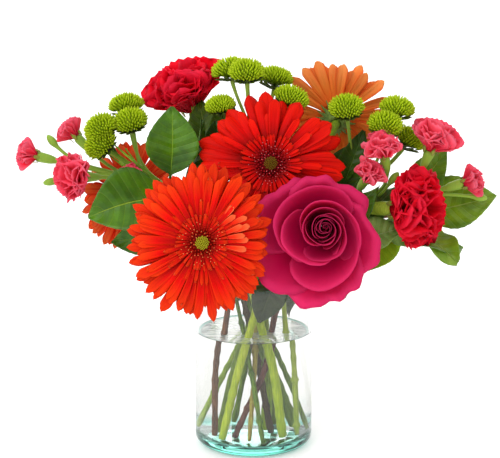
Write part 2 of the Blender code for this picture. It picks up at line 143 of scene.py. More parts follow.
def add_node(tree, kind, *first, **settings):
    """A node with its options and named sockets set, and its first sockets fed in their order."""
    node = tree.nodes.new("ShaderNode" + kind)
    for key, value in settings.items():
        if key in node.inputs:
            feed(node, {key: value})
        else:
            setattr(node, key, value)
    feed(node, dict(enumerate(first)))
    return node


def add_sum(tree, way, *values):
    return add_node(tree, "Math", *values, operation=way).outputs[0]


def add_ramp(tree, source, low, high, low_value, high_value):
    """Turns the part of a value between low and high into a value between two others."""
    span = add_node(tree, "MapRange", source, low, high, low_value, high_value)
    return span.outputs["Result"]


def add_mix(tree, factor, first, second, way="MIX"):
    """Blend of two colours. Colours and factor may be sockets or plain values."""
    blend = add_node(tree, "Mix", data_type="RGBA", blend_type=way)
    feed(blend, {0: factor, 6: first, 7: second})
    return blend.outputs[2]


def add_place(tree):
    return add_node(tree, "TexCoord").outputs["Object"]


def add_height(tree):
    return add_node(tree, "SeparateXYZ", add_place(tree)).outputs["Z"]


def add_noise(tree, place, **settings):
    return add_node(tree, "TexNoise", Vector=place, **settings).outputs["Fac"]


def add_bump(tree, height, strength, distance):
    bump = add_node(tree, "Bump", Height=height, Strength=strength, Distance=distance)
    return bump.outputs["Normal"]


def let_light_through(tree, shader, share):
    """Clear pieces would throw a black shadow, so part of the light passes straight on."""
    path = add_node(tree, "LightPath")
    clear = add_node(tree, "BsdfTransparent")
    amount = add_sum(tree, "MULTIPLY", path.outputs["Is Shadow Ray"], share)
    blend = add_node(tree, "MixShader", amount, shader.outputs[0], clear.outputs[0])
    feed(tree.nodes["Material Output"], {"Surface": blend.outputs[0]})


def make_glass():
    """Clear glass with a faint waviness. Its aqua tint is strongest in the foot."""
    material, tree, shader = new_material("vase_glass")
    foot = add_ramp(tree, add_height(tree), *FOOT_TINT_HEIGHTS, 1, 0)
    rim = add_ramp(tree, add_height(tree), *(vase_top - depth for depth in RIM_TINT_DEPTHS), 0, 1)
    colour = add_mix(tree, foot, WALL_TINT, FOOT_TINT)
    waves = add_noise(tree, add_place(tree), Scale=28, Detail=2)
    feed(shader, {
        "Base Color": add_mix(tree, rim, colour, RIM_TINT),
        "Roughness": 0.0,
        "IOR": GLASS_IOR,
        "Transmission Weight": 1.0,
        "Normal": add_bump(tree, waves, 0.06, 0.001),
    })
    let_light_through(tree, shader, GLASS_SHADOW_PASS)
    tint = add_node(tree, "VolumeAbsorption", Color=GLASS_TINT, Density=GLASS_DEPTH)
    feed(tree.nodes["Material Output"], {"Volume": tint.outputs[0]})
    return material


def is_outer_floor_edge(middle, way):
    outside = math.hypot(middle.x, middle.y) > 0.02
    return abs(middle.z - VASE_FLOOR) < SAME_HEIGHT and outside


vase_low, vase_high = (np.array(corner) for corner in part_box("vase"))
vase_radius = (vase_high[0] - vase_low[0]) / 2
vase_top = vase_high[2]
inner_radius = vase_radius - VASE_WALL

vase = add_round("glass_vase", vase_radius, 0, vase_top)
pick(vase, "EDGE", lambda middle, way: middle.z < SAME_HEIGHT)
round_edges(FOOT_ROUNDING, 7)
pick(vase, "FACE", lambda middle, normal: normal.z < -0.9999)
for ring in KICK_RINGS:
    bpy.ops.mesh.inset(thickness=ring)
bpy.ops.transform.translate(value=(0, 0, KICK))
pick(vase, "FACE", lambda middle, normal: normal.z > 0.99)
bpy.ops.mesh.inset(thickness=VASE_WALL)
bpy.ops.mesh.extrude_region_move(TRANSFORM_OT_translate={"value": (0, 0, VASE_FLOOR - vase_top)})
pick(vase, "EDGE", is_outer_floor_edge)
round_edges(FLOOR_ROUNDING, 5)
pick(vase, "EDGE", lambda middle, way: abs(middle.z - vase_top) < SAME_HEIGHT)
round_edges(RIM_ROUNDING, 3)
settle(vase)
vase.data.materials.append(make_glass())
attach(vase, "root")
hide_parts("vase")


# Tap water stands two thirds up the glass. It wets the wall, so its edge climbs in a small
# meniscus, and its outside runs a hair into the glass so that no film of air is left between them.
WET_IN = 0.0002
MENISCUS = 0.0009
MENISCUS_RING = 0.0007
WATER_IOR = 1.24
WATER_SHADOW_PASS = 0.9
WATER_TINT = (0.985, 1.0, 0.995, 1)


def make_water():
    material, tree, shader = new_material("water")
    ripples = add_noise(tree, add_place(tree), Scale=60, Detail=1)
    feed(shader, {
        "Base Color": WATER_TINT,
        "Roughness": 0.0,
        "IOR": WATER_IOR,
        "Transmission Weight": 1.0,
        "Normal": add_bump(tree, ripples, 0.10, 0.0006),
    })
    let_light_through(tree, shader, WATER_SHADOW_PASS)
    return material


def dip(shares):
    """Sink the picked surface in rings, each by its share of the meniscus."""
    for share in shares:
        bpy.ops.mesh.inset(thickness=MENISCUS_RING)
        bpy.ops.transform.translate(value=(0, 0, -MENISCUS * share))


water_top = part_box("water")[1][2] + MENISCUS
water_floor = VASE_FLOOR - WET_IN / 2
water = add_round("water_fill", inner_radius + WET_IN, water_floor, water_top)
pick(water, "EDGE", lambda middle, way: middle.z < water_floor + SAME_HEIGHT)
round_edges(FLOOR_ROUNDING, 5)
pick(water, "FACE", lambda middle, normal: normal.z > 0.99)
dip((0.55, 0.30, 0.15))
settle(water)
water.data.materials.append(make_water())
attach(water, "root")
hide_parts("water")


# The surface of the water shows pale swirls with an aqua edge, where it reflects the room and
# climbs the glass. This reflection
# of the room is painted: a thin sheet in the meniscus carries pale painted reflection and white
# painted highlights.
REFLECTION_SHEET_GAP = 0.0002
PAINTED_REFLECTION_PALE = (0.84, 0.96, 0.94, 1)
PAINTED_REFLECTION_HIGHLIGHT = (1, 1, 1, 1)
REFLECTION_SHEET_EDGE = (0.22, 0.60, 0.54, 1)
REFLECTION_SHEET_EDGE_WIDTHS = (0.0040, 0.0015)


# Painted reflection of the room on the water: a pale swirled sheet with white painted highlights
# and an aqua edge
def make_painted_water_reflection():
    material, tree, shader = new_material("water_painted_reflection")
    place = add_place(tree)
    flat = add_node(tree, "VectorMath", place, (1, 1, 0), operation="MULTIPLY")
    reach = add_node(tree, "VectorMath", flat.outputs[0], operation="LENGTH")
    stretch = add_node(tree, "Mapping", Vector=place, Scale=(0.6, 1.6, 1))
    swirls = add_noise(tree, stretch.outputs["Vector"], Scale=70, Detail=3, Distortion=1.5)
    span = (inner_radius - width for width in REFLECTION_SHEET_EDGE_WIDTHS)
    edge = add_ramp(tree, reach.outputs["Value"], *span, 0, 0.9)
    # Painted highlights: white glints where the swirls catch the room's reflection
    painted_highlight = add_ramp(tree, swirls, 0.50, 0.64, 0, 1)
    feed(shader, {
        "Base Color": add_mix(tree, edge, add_mix(tree, painted_highlight, PAINTED_REFLECTION_PALE, PAINTED_REFLECTION_HIGHLIGHT), REFLECTION_SHEET_EDGE),
        "Alpha": add_sum(tree, "MAXIMUM", add_ramp(tree, swirls, 0.42, 0.66, 0.30, 0.72), edge),
        "Normal": add_bump(tree, swirls, 0.3, 0.0010),
        "Roughness": 0.12,
    })
    return material


clear_selection()
bpy.ops.mesh.primitive_circle_add(
    vertices=ROUND_SIDES,
    radius=inner_radius - REFLECTION_SHEET_GAP,
    location=(0, 0, water_top),
    fill_type="NGON",
)
skin = bpy.context.object
skin.name = "water_painted_reflection"
settle(skin)
pick(skin, "FACE", lambda middle, normal: True)
dip((0.55, 0.30, 0.12))
settle(skin)
skin.data.materials.append(make_painted_water_reflection())
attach(skin, "root")


# Stems and twigs. The florist cuts each one at a slant and stands it in the water, where they cross
# and lean on the glass. Gerbera stems are bare and downy, carnation stems have swollen joints, and
# the twigs are woody and brown.
JOINT_SPACING = 0.041
JOINT_LENGTH = 0.0018
UNEVEN = 0.00022
# Rounding a tube draws it in by about this share of its radius
ROUNDING_LOSS = 0.09
SPRAY_GREEN = "86A83C"
# Light and dark colour, how far the joints swell, and how far the stem bows sideways in the glass
SOFT_STEMS = {
    "gerbera_front_stem": ("D0E43C", "94B41C", 0, 0.0035),
    "gerbera_upper_stem": ("B4D034", "74981C", 0, 0.0020),
    "gerbera_peach_stem": ("86A420", "527018", 0, -0.0020),
    "gerbera_left_stem": ("86A81A", "50700C", 0, 0.0020),
    "rose_stem": ("D4E440", "98B424", 0, -0.0015),
    "carnation_back_stem": ("849824", "4E5E18", 0.0010, 0.0015),
    "carnation_right_stem": ("C4D84C", "8CA828", 0.0011, 0.0010),
    "spray_left_stem": ("7CA024", "3E601C", 0.0009, 0.0020),
    "spray_right_stem": ("ACC83C", "70941C", 0.0009, -0.0015),
    "poms_left_stem": ("86AA1E", "507012", 0, 0.0015),
    "poms_centre_stem": ("C0B850", "8E7434", 0.0008, 0.0015),
    "poms_right_stem": ("86A61A", "4E6E12", 0, -0.0015),
}
TWIGS = {
    "twig_left": ("8A5A34", "4E321C", 0.0005, -0.0035),
    "twig_centre": ("665230", "3E3820", 0.0008, 0.0020),
    "twig_right": ("8C5A4C", "502E26", 0.0008, 0.0050),
}


def dye(code):
    """A colour written as six hex digits, as linear light."""
    parts = [int(code[i : i + 2], 16) / 255 for i in (0, 2, 4)]
    light = (p / 12.92 if p <= 0.04045 else ((p + 0.055) / 1.055) ** 2.4 for p in parts)
    return (*light, 1)


def new_group(name, inputs, outputs):
    """An empty node group with numbers going in and out, and its two ends."""
    tree = bpy.data.node_groups.new(name, "ShaderNodeTree")
    for way, sockets in (("INPUT", inputs), ("OUTPUT", outputs)):
        for socket in sockets:
            tree.interface.new_socket(socket, in_out=way, socket_type="NodeSocketFloat")
    return tree, tree.nodes.new("NodeGroupInput"), tree.nodes.new("NodeGroupOutput")


def make_fibres():
    """Node group: long streaks that follow a stem, and a speckle, on object coordinates."""
    tree, start, end = new_group("stem_fibres", ["Fineness"], ["Streak", "Blotch", "Height"])
    place = add_place(tree)
    long = add_node(tree, "Mapping", Vector=place, Scale=(1, 1, 0.07)).outputs["Vector"]
    streak = add_noise(tree, long, Scale=start.outputs["Fineness"], Detail=4, Roughness=0.6)
    blotch = add_noise(tree, place, Scale=85, Detail=3)
    height = add_sum(tree, "MULTIPLY_ADD", streak, 0.7, blotch)
    feed(end, {"Streak": streak, "Blotch": blotch, "Height": height})
    return tree


def make_stem_material(name, light, dark, fineness, depth, roughness, upper=None):
    """Streaked skin of a stem, with another colour above the glass where one is given."""
    material, tree, shader = new_material(name)
    fibres = add_node(tree, "Group", node_tree=FIBRES, Fineness=fineness).outputs
    streaks = add_ramp(tree, fibres["Streak"], 0.35, 0.68, 0, 1)
    patches = add_ramp(tree, fibres["Blotch"], 0.40, 0.75, 0, 0.55)
    colour = add_mix(tree, streaks, dye(light), dye(dark))
    colour = add_mix(tree, patches, colour, dye(dark))
    if upper:
        risen = add_ramp(tree, add_height(tree), vase_top - 0.03, vase_top + 0.02, 0, 0.85)
        colour = add_mix(tree, risen, colour, dye(upper))
    dull = add_ramp(tree, fibres["Blotch"], 0.3, 0.7, roughness - 0.08, roughness + 0.1)
    feed(shader, {
        "Base Color": colour,
        "Normal": add_bump(tree, fibres["Height"], depth, 0.0006),
        "Roughness": dull,
        "Sheen Weight": 0.03,
        "Specular IOR Level": 0.18,
    })
    return material


def corners(node):
    """A node's corners, each once."""
    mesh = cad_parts[node].data
    spots = np.array([vertex.co[:] for vertex in mesh.vertices])
    return np.unique(spots.round(6), axis=0)


def grow_stem(node, name, joint, bow, stout):
    """A rounded copy of a node's tube, swollen again, with joints and an uneven skin."""
    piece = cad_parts[node].copy()
    piece.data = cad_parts[node].data.copy()
    piece.name = name
    piece.data.name = name
    piece.data.materials.clear()
    bpy.context.scene.collection.objects.link(piece)
    make_active(piece)
    bpy.ops.object.mode_set(mode="EDIT")
    bpy.ops.mesh.select_all(action="SELECT")
    bpy.ops.mesh.remove_doubles(threshold=2e-5)
    bpy.ops.mesh.tris_convert_to_quads(
        face_threshold=math.radians(50), shape_threshold=math.radians(70)
    )
    pick(piece, "EDGE", lambda middle, way: way.length > 0.05)
    bpy.ops.mesh.subdivide(number_cuts=24)
    bpy.ops.object.mode_set(mode="OBJECT")
    rounding = piece.modifiers.new("rounding", "SUBSURF")
    rounding.levels = 2
    rounding.render_levels = 2
    bpy.ops.object.modifier_apply(modifier="rounding")

    foot = corners(node)
    foot = foot[np.argsort(foot[:, 2])[:8]]
    radius = np.linalg.norm(foot - foot.mean(axis=0), axis=1).mean()
    spots = np.empty(3 * len(piece.data.vertices))
    ways = np.empty(3 * len(piece.data.vertices))
    piece.data.vertices.foreach_get("co", spots)
    piece.data.vertices.foreach_get("normal", ways)
    height = spots[2::3]
    phase = 9 * foot[0, 0] / radius
    skin = np.sin(310 * height + 3 * np.sin(97 * height + phase) + phase) * UNEVEN
    near = (height + 0.004 * phase) % JOINT_SPACING - JOINT_SPACING / 2
    bulge = joint * np.exp(-((near / JOINT_LENGTH) ** 2)) * (height < vase_top)
    in_glass = height < vase_top + 0.01
    push = np.where(in_glass, ROUNDING_LOSS * radius + skin + bulge, stout * radius)
    spots += ways * np.repeat(push, 3)
    spots[0::3] += bow * np.sin(math.pi * np.clip(height / vase_top, 0, 1)) ** 2
    piece.data.vertices.foreach_set("co", spots)
    piece.data.update()
    make_active(piece)
    bpy.ops.object.shade_smooth()
    return piece


FIBRES = make_fibres()
for node, (light, dark, joint, bow) in SOFT_STEMS.items():
    many = node.startswith(("poms", "spray"))
    upper = SPRAY_GREEN if many else None
    stem = grow_stem(node, node + "_grown", joint, bow, 0.28 if many else 0.08)
    stem.data.materials.append(make_stem_material(node, light, dark, 900, 0.35, 0.45, upper))
    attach(stem, "root")
    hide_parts(node)
for node, (light, dark, joint, bow) in TWIGS.items():
    twig = grow_stem(node, node + "_bark", joint, bow, 0.08)
    twig.data.materials.append(make_stem_material(node, light, dark, 420, 0.8, 0.7))
    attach(twig, "root")
    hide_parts(node)


# Leaves grow on the twigs, with one on the rose stem. Each is a stiff glossy blade, folded along
# its midrib, paler and duller underneath, with a fine-toothed edge that waves a little.
LEAF_SHEET = (14, 26)
LEAF_THICKNESS = 0.0006
LEAF_FOLD = 0.42
LEAF_DROOP = 0.05
LEAF_STALK = 0.09
LEAF_TEETH = 0.010
TEETH_ALONG = 26
VEIN_PAIRS = 8
VEIN_SLANT = 0.30
LEAF_STEMS = ("twig_left", "twig_centre", "twig_right", "rose_stem")
# Light, dark and rib colour, how far the edge waves, and how much wider the blade is
LEAVES = {
    "leaf_upright_left": ("4C7800", "264C00", "86A830", 0.030, 1.04),
    "leaf_broad_left": ("4C7A00", "305600", "94B02C", 0.012, 1.04),
    "leaf_rolled_left": ("3A5E04", "223A02", "8CA860", 0.030, 1.1),
    "leaf_dark_centre": ("2C4C04", "162E02", "5C7830", 0.030, 1.1),
    "leaf_in_neck": ("3E5420", "2A3E16", "5C703C", 0.020, 1.1),
    "leaf_upper_right": ("689004", "446C02", "9CB848", 0.020, 1.2),
    "leaf_far_right": ("7E9E14", "527802", "A8C458", 0.040, 1.35),
    "leaf_wavy_right": ("86A02C", "5C7C10", "A0BA58", 0.110, 1.15),
    "leaf_light_right": ("96B424", "789810", "A4BE44", 0.030, 1.2),
    "leaf_inner_right": ("4A7406", "2E5402", "80A03C", 0.050, 1.1),
    "leaf_low_right": ("547C20", "385C10", "86A450", 0.090, 1.1),
}


def unit(way):
    return np.array(way) / np.linalg.norm(way)


def take_form():
    """Corners and faces of the plain body just added, which is then thrown away."""
    body = bpy.context.object
    spots = np.array([vertex.co[:] for vertex in body.data.vertices])
    faces = [tuple(face.vertices) for face in body.data.polygons]
    bpy.data.objects.remove(body)
    return spots, faces


def flat_sheet(columns, rows):
    """The sheet each blade starts as: across from -1 to 1, along from 0 to 1, and its faces."""
    clear_selection()
    bpy.ops.mesh.primitive_grid_add(x_subdivisions=columns, y_subdivisions=rows, size=2)
    spots, faces = take_form()
    return spots[:, 0], (spots[:, 1] + 1) / 2, faces


# A blade's tint holds its own tone, then its painted shade: how much darker it is painted where it
# lies deep in a head
def blade(sheet, places, tint=(0, 0, 0), finish=0, head=None):
    """One blade for grow, moved out of its head's own frame where it is made in one."""
    if head:
        places = head[0] + places @ head[1]
    return sheet, places, tint, finish


def grow(name, blades, finishes, thickness=0):
    """One piece of many blades, each a sheet, its corners, its own tone and painted shade, and its
    finish's number.
    """
    spots, faces, marks, tones_and_shades, numbers = [], [], [], [], []
    start = 0
    for (across, along, quads), places, tint, finish in blades:
        spots.append(places)
        faces += [tuple(i + start for i in quad) for quad in quads]
        marks.append(np.stack([(across + 1) / 2, along], axis=1))
        tones_and_shades.append(np.tile([*tint, 1.0], (len(across), 1)))
        numbers += [finish] * len(quads)
        start += len(across)
    mesh = bpy.data.meshes.new(name)
    mesh.from_pydata(np.concatenate(spots).tolist(), [], faces)
    owner = np.empty(len(mesh.loops), dtype=np.int32)
    mesh.loops.foreach_get("vertex_index", owner)
    chart = mesh.uv_layers.new(name="Blade").data
    chart.foreach_set("uv", np.concatenate(marks)[owner].ravel())
    shades = mesh.color_attributes.new("Tint", "FLOAT_COLOR", "POINT").data
    shades.foreach_set("color", np.concatenate(tones_and_shades).ravel())
    mesh.polygons.foreach_set("material_index", numbers)
    piece = bpy.data.objects.new(name, mesh)
    bpy.context.scene.collection.objects.link(piece)
    for finish in finishes:
        mesh.materials.append(finish)
    make_active(piece)
    if thickness:
        body = piece.modifiers.new("body", "SOLIDIFY")
        body.thickness = thickness
        body.offset = -1
        body.material_offset = 1 if len(finishes) == 2 else 0
        bpy.ops.object.modifier_apply(modifier="body")
    bpy.ops.object.shade_smooth()
    return piece


def make_veins():
    """Node group: a midrib and slanting side veins, on the blade's own map."""
    tree, start, end = new_group("leaf_veins", ["Pairs"], ["Vein", "Height"])
    chart = add_node(tree, "UVMap", uv_map="Blade").outputs["UV"]
    parts = add_node(tree, "SeparateXYZ", chart).outputs
    aside = add_sum(tree, "ABSOLUTE", add_sum(tree, "SUBTRACT", parts["X"], 0.5))
    slant = add_sum(tree, "MULTIPLY", aside, VEIN_SLANT)
    swept = add_sum(tree, "SUBTRACT", parts["Y"], slant)
    phase = add_sum(tree, "FRACT", add_sum(tree, "MULTIPLY", swept, start.outputs["Pairs"]))
    near = add_sum(tree, "ABSOLUTE", add_sum(tree, "SUBTRACT", phase, 0.5))
    side = add_ramp(tree, near, 0.0, 0.06, 0.18, 0.0)
    middle = add_ramp(tree, aside, 0.003, 0.016, 1.0, 0.0)
    vein = add_sum(tree, "MAXIMUM", side, middle)
    puff = add_sum(tree, "MULTIPLY", near, 1.6)
    feed(end, {"Vein": vein, "Height": add_sum(tree, "SUBTRACT", puff, vein)})
    return tree


def make_leaf_material(name, light, dark, rib, roughness, gloss):
    """One side of a leaf, with clouded green between its veins."""
    material, tree, shader = new_material(name)
    veins = add_node(tree, "Group", node_tree=VEINS, Pairs=VEIN_PAIRS).outputs
    place = add_place(tree)
    clouds = add_noise(tree, place, Scale=55, Detail=3)
    grain = add_noise(tree, place, Scale=900, Detail=2)
    body = add_mix(tree, add_ramp(tree, clouds, 0.35, 0.65, 0, 1), dye(light), dye(dark))
    body = add_mix(tree, add_ramp(tree, grain, 0.45, 0.7, 0, 0.35), body, dye(dark))
    feed(shader, {
        "Base Color": add_mix(tree, add_ramp(tree, veins["Vein"], 0, 1, 0, 0.75), body, dye(rib)),
        "Normal": add_bump(tree, veins["Height"], 0.6, 0.0016),
        "Roughness": add_ramp(tree, clouds, 0.3, 0.7, roughness - 0.06, roughness + 0.08),
        "Coat Weight": gloss,
        "Coat Roughness": 0.30,
        "Specular IOR Level": 0.22,
    })
    return material


def leaf_sides(name, dyes, roughness, gloss):
    light, dark, rib = dyes
    return [
        make_leaf_material(name, light, dark, rib, roughness, gloss),
        make_leaf_material(name + "_underside", rib, light, rib, 0.6, 0.0),
    ]


def measure_leaf(node):
    """Base, tip, face, half width and bow of a node's plain blade."""
    spots = corners(node)
    middle = spots.mean(axis=0)
    along, _, face = np.linalg.svd(spots - middle)[2]
    holders = np.concatenate([corners(name) for name in LEAF_STEMS])
    reach = (spots - middle) @ along
    ends = middle + along * reach.min(), middle + along * reach.max()
    base, tip = sorted(ends, key=lambda end: np.linalg.norm(holders - end, axis=1).min())
    if face @ np.array([0, -0.8, 0.6]) < 0:
        face = -face
    side = np.cross(unit(tip - base), face)
    half_width = np.abs((spots - middle) @ side).max()
    inner = np.abs(reach) < 0.3 * np.linalg.norm(tip - base)
    return base, tip, face, half_width, ((spots[inner] - base) @ face).mean()


def leaf_blade(base, tip, face, half_width, bow, wave, rng):
    """A full blade: folded, bowed, toothed and a little wavy."""
    way = unit(tip - base)
    side = unit(np.cross(way, face))
    face = np.cross(side, way)
    length = np.linalg.norm(tip - base)
    u, v, _ = leaf_grid
    arch = np.sin(np.pi * v)
    grown = np.clip((v - LEAF_STALK) / (1 - LEAF_STALK), 0, 1)
    half = half_width * np.sin(np.pi * grown**0.88) ** 0.82
    half = np.maximum(half, min(0.0010, 0.6 * half_width))
    teeth = 1 + LEAF_TEETH * np.cos(np.pi * v * TEETH_ALONG) * (np.abs(u) > 0.95)
    sway = 0.04 * length * arch * rng.uniform(-1, 1)
    lift = half * LEAF_FOLD * np.abs(u) ** 1.3 + bow * arch
    ripple = np.sin(rng.uniform(2.2, 3.2) * np.pi * v + rng.uniform(0, 6))
    lift += wave * length * u * np.abs(u) * ripple - LEAF_DROOP * length * v**3
    places = np.outer(length * v, way) + np.outer(half * teeth * u + sway, side)
    return base + places + np.outer(lift, face)


VEINS = make_veins()
leaf_grid = flat_sheet(*LEAF_SHEET)
for number, (node, (*dyes, wave, wider)) in enumerate(LEAVES.items()):
    rng = np.random.default_rng(40 + number)
    base, tip, face, half_width, bow = measure_leaf(node)
    places = leaf_blade(base, tip, face, half_width * wider, bow, wave, rng)
    finishes = leaf_sides(node, dyes, 0.34, 0.16)
    leaf = grow(node + "_blade", [blade(leaf_grid, places)], finishes, LEAF_THICKNESS)
    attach(leaf, "root")
    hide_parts(node)


# Smaller leaves of the same kind fill the bunch between the heads and hang into the neck of the
# glass. They are tucked in by their stalks, and are duller than the leaves on the twigs. Their
# darker greens are partly painted shade: they stand for both foliage and shadow in those gaps.
FILLER_BOW = 0.003
# Base and tip from the middle of the rim, half width, the way the face looks, then light, dark and
# rib colour, and how far the edge waves
FILLER_LEAVES = {
    "filler_back_left": ((-0.037, 0.012, 0.090), (-0.046, 0.034, 0.150), 0.016, (0.2, -0.95, 0.2),
                         "5C7418", "3A500C", "8C9C48", 0.03),
    "filler_back_mid": ((-0.030, 0.014, 0.092), (-0.020, 0.030, 0.152), 0.013, (-0.2, -0.95, 0.2),
                        "4E6814", "30480A", "7C8C40", 0.04),
    "filler_left_mid": ((-0.030, 0.004, 0.052), (-0.052, 0.006, 0.092), 0.012, (0.3, -0.9, 0.2),
                        "345808", "1E3A04", "6C8838", 0.05),
    "filler_centre": ((-0.020, 0.010, 0.022), (0.002, 0.018, 0.066), 0.015, (0.0, -0.95, 0.2),
                      "2E5008", "1A3404", "66803C", 0.04),
    "filler_right_mid": ((0.082, 0.006, 0.040), (0.121, 0.010, 0.078), 0.012, (-0.2, -0.9, 0.4),
                         "6C8A44", "486428", "98AC70", 0.08),
    "filler_right_up": ((0.080, 0.002, 0.040), (0.090, 0.004, 0.084), 0.009, (0.2, -0.9, 0.3),
                        "4E7424", "305214", "809850", 0.06),
    "filler_right_low": ((0.084, -0.010, 0.034), (0.128, -0.012, 0.048), 0.013, (-0.1, -0.8, 0.5),
                         "7C9A48", "567434", "A0B476", 0.10),
    "filler_right_under": ((0.104, 0.006, 0.046), (0.178, -0.004, 0.024), 0.013, (-0.1, -0.8, 0.5),
                           "86A456", "5E7C40", "A8BC84", 0.20),
    "filler_right_back": ((0.074, 0.014, 0.070), (0.094, 0.012, 0.126), 0.013, (0.1, -0.95, 0.2),
                          "3A5C10", "223C08", "6E8A40", 0.05),
    "filler_right_top": ((0.074, 0.016, 0.074), (0.081, 0.024, 0.112), 0.012, (-0.3, -0.9, 0.2),
                         "466A14", "2A480A", "7A9444", 0.05),
    "filler_left_low": ((-0.052, -0.004, 0.040), (-0.124, 0.012, 0.030), 0.016, (-0.1, -0.9, 0.3),
                        "3E6A08", "264A02", "7C9834", 0.03),
    "filler_neck_left": ((-0.004, 0.020, 0.016), (-0.016, 0.030, -0.030), 0.010, (-0.2, -0.95, 0.1),
                         "34481A", "20300E", "506432", 0.04),
    "filler_neck_right": ((0.030, 0.004, 0.012), (0.032, 0.006, -0.036), 0.007, (0.2, -0.95, 0.1),
                          "4A6026", "304216", "64784A", 0.08),
}
rim_middle = np.array([0, 0, vase_top])
for number, (name, row) in enumerate(FILLER_LEAVES.items()):
    base, tip, half_width, face, *dyes, wave = row
    rng = np.random.default_rng(60 + number)
    places = leaf_blade(
        rim_middle + base, rim_middle + tip, np.array(face), half_width, FILLER_BOW, wave, rng
    )
    finishes = leaf_sides(name, dyes, 0.40, 0.05)
    leaf = grow(name, [blade(leaf_grid, places)], finishes, LEAF_THICKNESS)
    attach(leaf, "root")


# Thin grass-like sepals stand out at the left of the bunch. They are narrow green blades that
# spring from one point on a bud.
GRASS_ROOT = (-0.082, -0.008, 0.086)
GRASS_HALF_WIDTH = 0.0009
GRASS_THICKNESS = 0.0003
GRASS_TIPS = (
    (-0.126, -0.005, 0.112),
    (-0.121, -0.008, 0.121),
    (-0.113, -0.012, 0.104),
    (-0.130, 0.000, 0.120),
    (-0.108, -0.006, 0.114),
)
rng = np.random.default_rng(80)
grass_root = rim_middle + np.array(GRASS_ROOT)
grass_face = np.array([0, -0.9, 0.4])
grass_finish = make_leaf_material("thin_sepal", "88B030", "5C841C", "9CBC50", 0.5, 0.0)
blades = []
for tip in GRASS_TIPS:
    root = grass_root + np.array([rng.uniform(-0.008, 0.008), 0, rng.uniform(-0.012, 0.004)])
    bow = rng.uniform(-0.008, 0.008)
    places = leaf_blade(root, rim_middle + tip, grass_face, GRASS_HALF_WIDTH, bow, 0, rng)
    blades.append(blade(leaf_grid, places))
grass = grow("thin_sepals", blades, [grass_finish], GRASS_THICKNESS)
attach(grass, "root")


# Each gerbera is one head on a bare stem: two or three overlapping whorls of grooved rays, a ring
# of short dark florets with pale tips, and a green eye. Behind them a cup of small pointed bracts
# holds the rays.
RAY_SHEET = (8, 12)
RAY_OUTLINE = (
    (0, 0.15, 0.42, 0.70, 0.89, 0.95, 0.985, 1.0),
    (0.34, 0.46, 0.78, 0.98, 1.0, 0.86, 0.62, 0.30),
)
RAY_THICKNESS = 0.0004
RAY_GROOVE = 0.15
BRACTS = 18
BRACT_ROWS = 2
BRACT_THICKNESS = 0.0004
DISC_FLORETS = 130
DISC_HOLE = 16
DISC_SHARE = 0.27
DISC_CORE = np.array([0.24, 0.24, 0.07])
FLORET_WIDTH = 0.0007
FLORET_HEIGHTS = (0.0035, 0.0052)
OPEN_FLORETS = 0.45
OPEN_TIP = (0.0004, 0.0004, 0.0006)
EYE_FLORETS = 60
EYE_SHARE = 0.095
EYE_BUD = (0.0007, 0.0007, 0.0012)
GOLDEN_TURN = math.pi * (3 - math.sqrt(5))
# Whorls from the back: rays, start and length as shares of the radius, width, height, lift, droop
GERBERA_WHORLS = {
    "gerbera_front": (
        (36, 0.16, 0.88, 0.0086, -0.001, 0.02, 0.10),
        (34, 0.16, 0.84, 0.0080, 0.001, 0.05, 0.09),
        (30, 0.16, 0.77, 0.0066, 0.002, 0.08, 0.07),
        (40, 0.15, 0.42, 0.0028, 0.002, 0.13, 0.03),
        (44, 0.13, 0.25, 0.0020, 0.002, 0.26, 0.00),
    ),
    "gerbera_upper": (
        (22, 0.16, 0.89, 0.0126, -0.001, 0.02, 0.15),
        (19, 0.16, 0.83, 0.0118, 0.001, 0.06, 0.12),
        (12, 0.16, 0.60, 0.0062, 0.002, 0.11, 0.05),
        (40, 0.15, 0.29, 0.0026, 0.002, 0.24, 0.00),
    ),
    "gerbera_peach": (
        (25, 0.16, 0.90, 0.0092, -0.001, 0.06, 0.02),
        (21, 0.16, 0.80, 0.0090, 0.001, 0.12, 0.02),
    ),
    "gerbera_left": (
        (24, 0.16, 0.88, 0.0092, -0.001, 0.04, 0.06),
        (21, 0.16, 0.78, 0.0090, 0.001, 0.12, 0.02),
    ),
}
# Painted shade of each whorl, from the back, on the full heads and on those that turn away: rays
# that lie behind or under others are painted darker
FULL_PAINTED_SHADE = (0.28, 0.12, 0.0, 0.10, 0.25)
PLAIN_PAINTED_SHADE = (0.0, 0.2)
# How far each head is drawn out sideways and upwards
GERBERA_SPREAD = {"gerbera_front": (0.99, 1.09), "gerbera_upper": (1.07, 0.98)}
# Deep at the base, body, light at the tip; the same for the underside; and the stripe strength
GERBERA_DYES = {
    "gerbera_front": (("B40000", "FA0A00", "FF4404"), ("F03A10", "FF6A30", "FF9058"), 0.60),
    "gerbera_upper": (("960000", "F40400", "FF1C00"), ("C81404", "F03818", "F86038"), 0.50),
    "gerbera_peach": (("F06A20", "FF9440", "FFB060"), ("FF7020", "FFA848", "FFC070"), 0.60),
    "gerbera_left": (("E01804", "FF4008", "FF7020"), ("FF1806", "FF5428", "FF9450"), 0.8),
}
FLORET_DYES = {
    "gerbera_front": (("6A0204", "A00A04", "C82006"), ("E05020", "F88040", "FFB070")),
    "gerbera_upper": (("580408", "8C0610", "B41420"), ("C83C50", "E06070", "F49088")),
}
OTHER_FLORETS = (("6A1004", "A03008", "C85018"), ("E07040", "F8A060", "FFC890"))
EYE_DYES = {"gerbera_front": ("B4B024", "6E7414"), "gerbera_upper": ("7A5A10", "46500C")}
OTHER_EYES = ("A8A82C", "6E7A18")


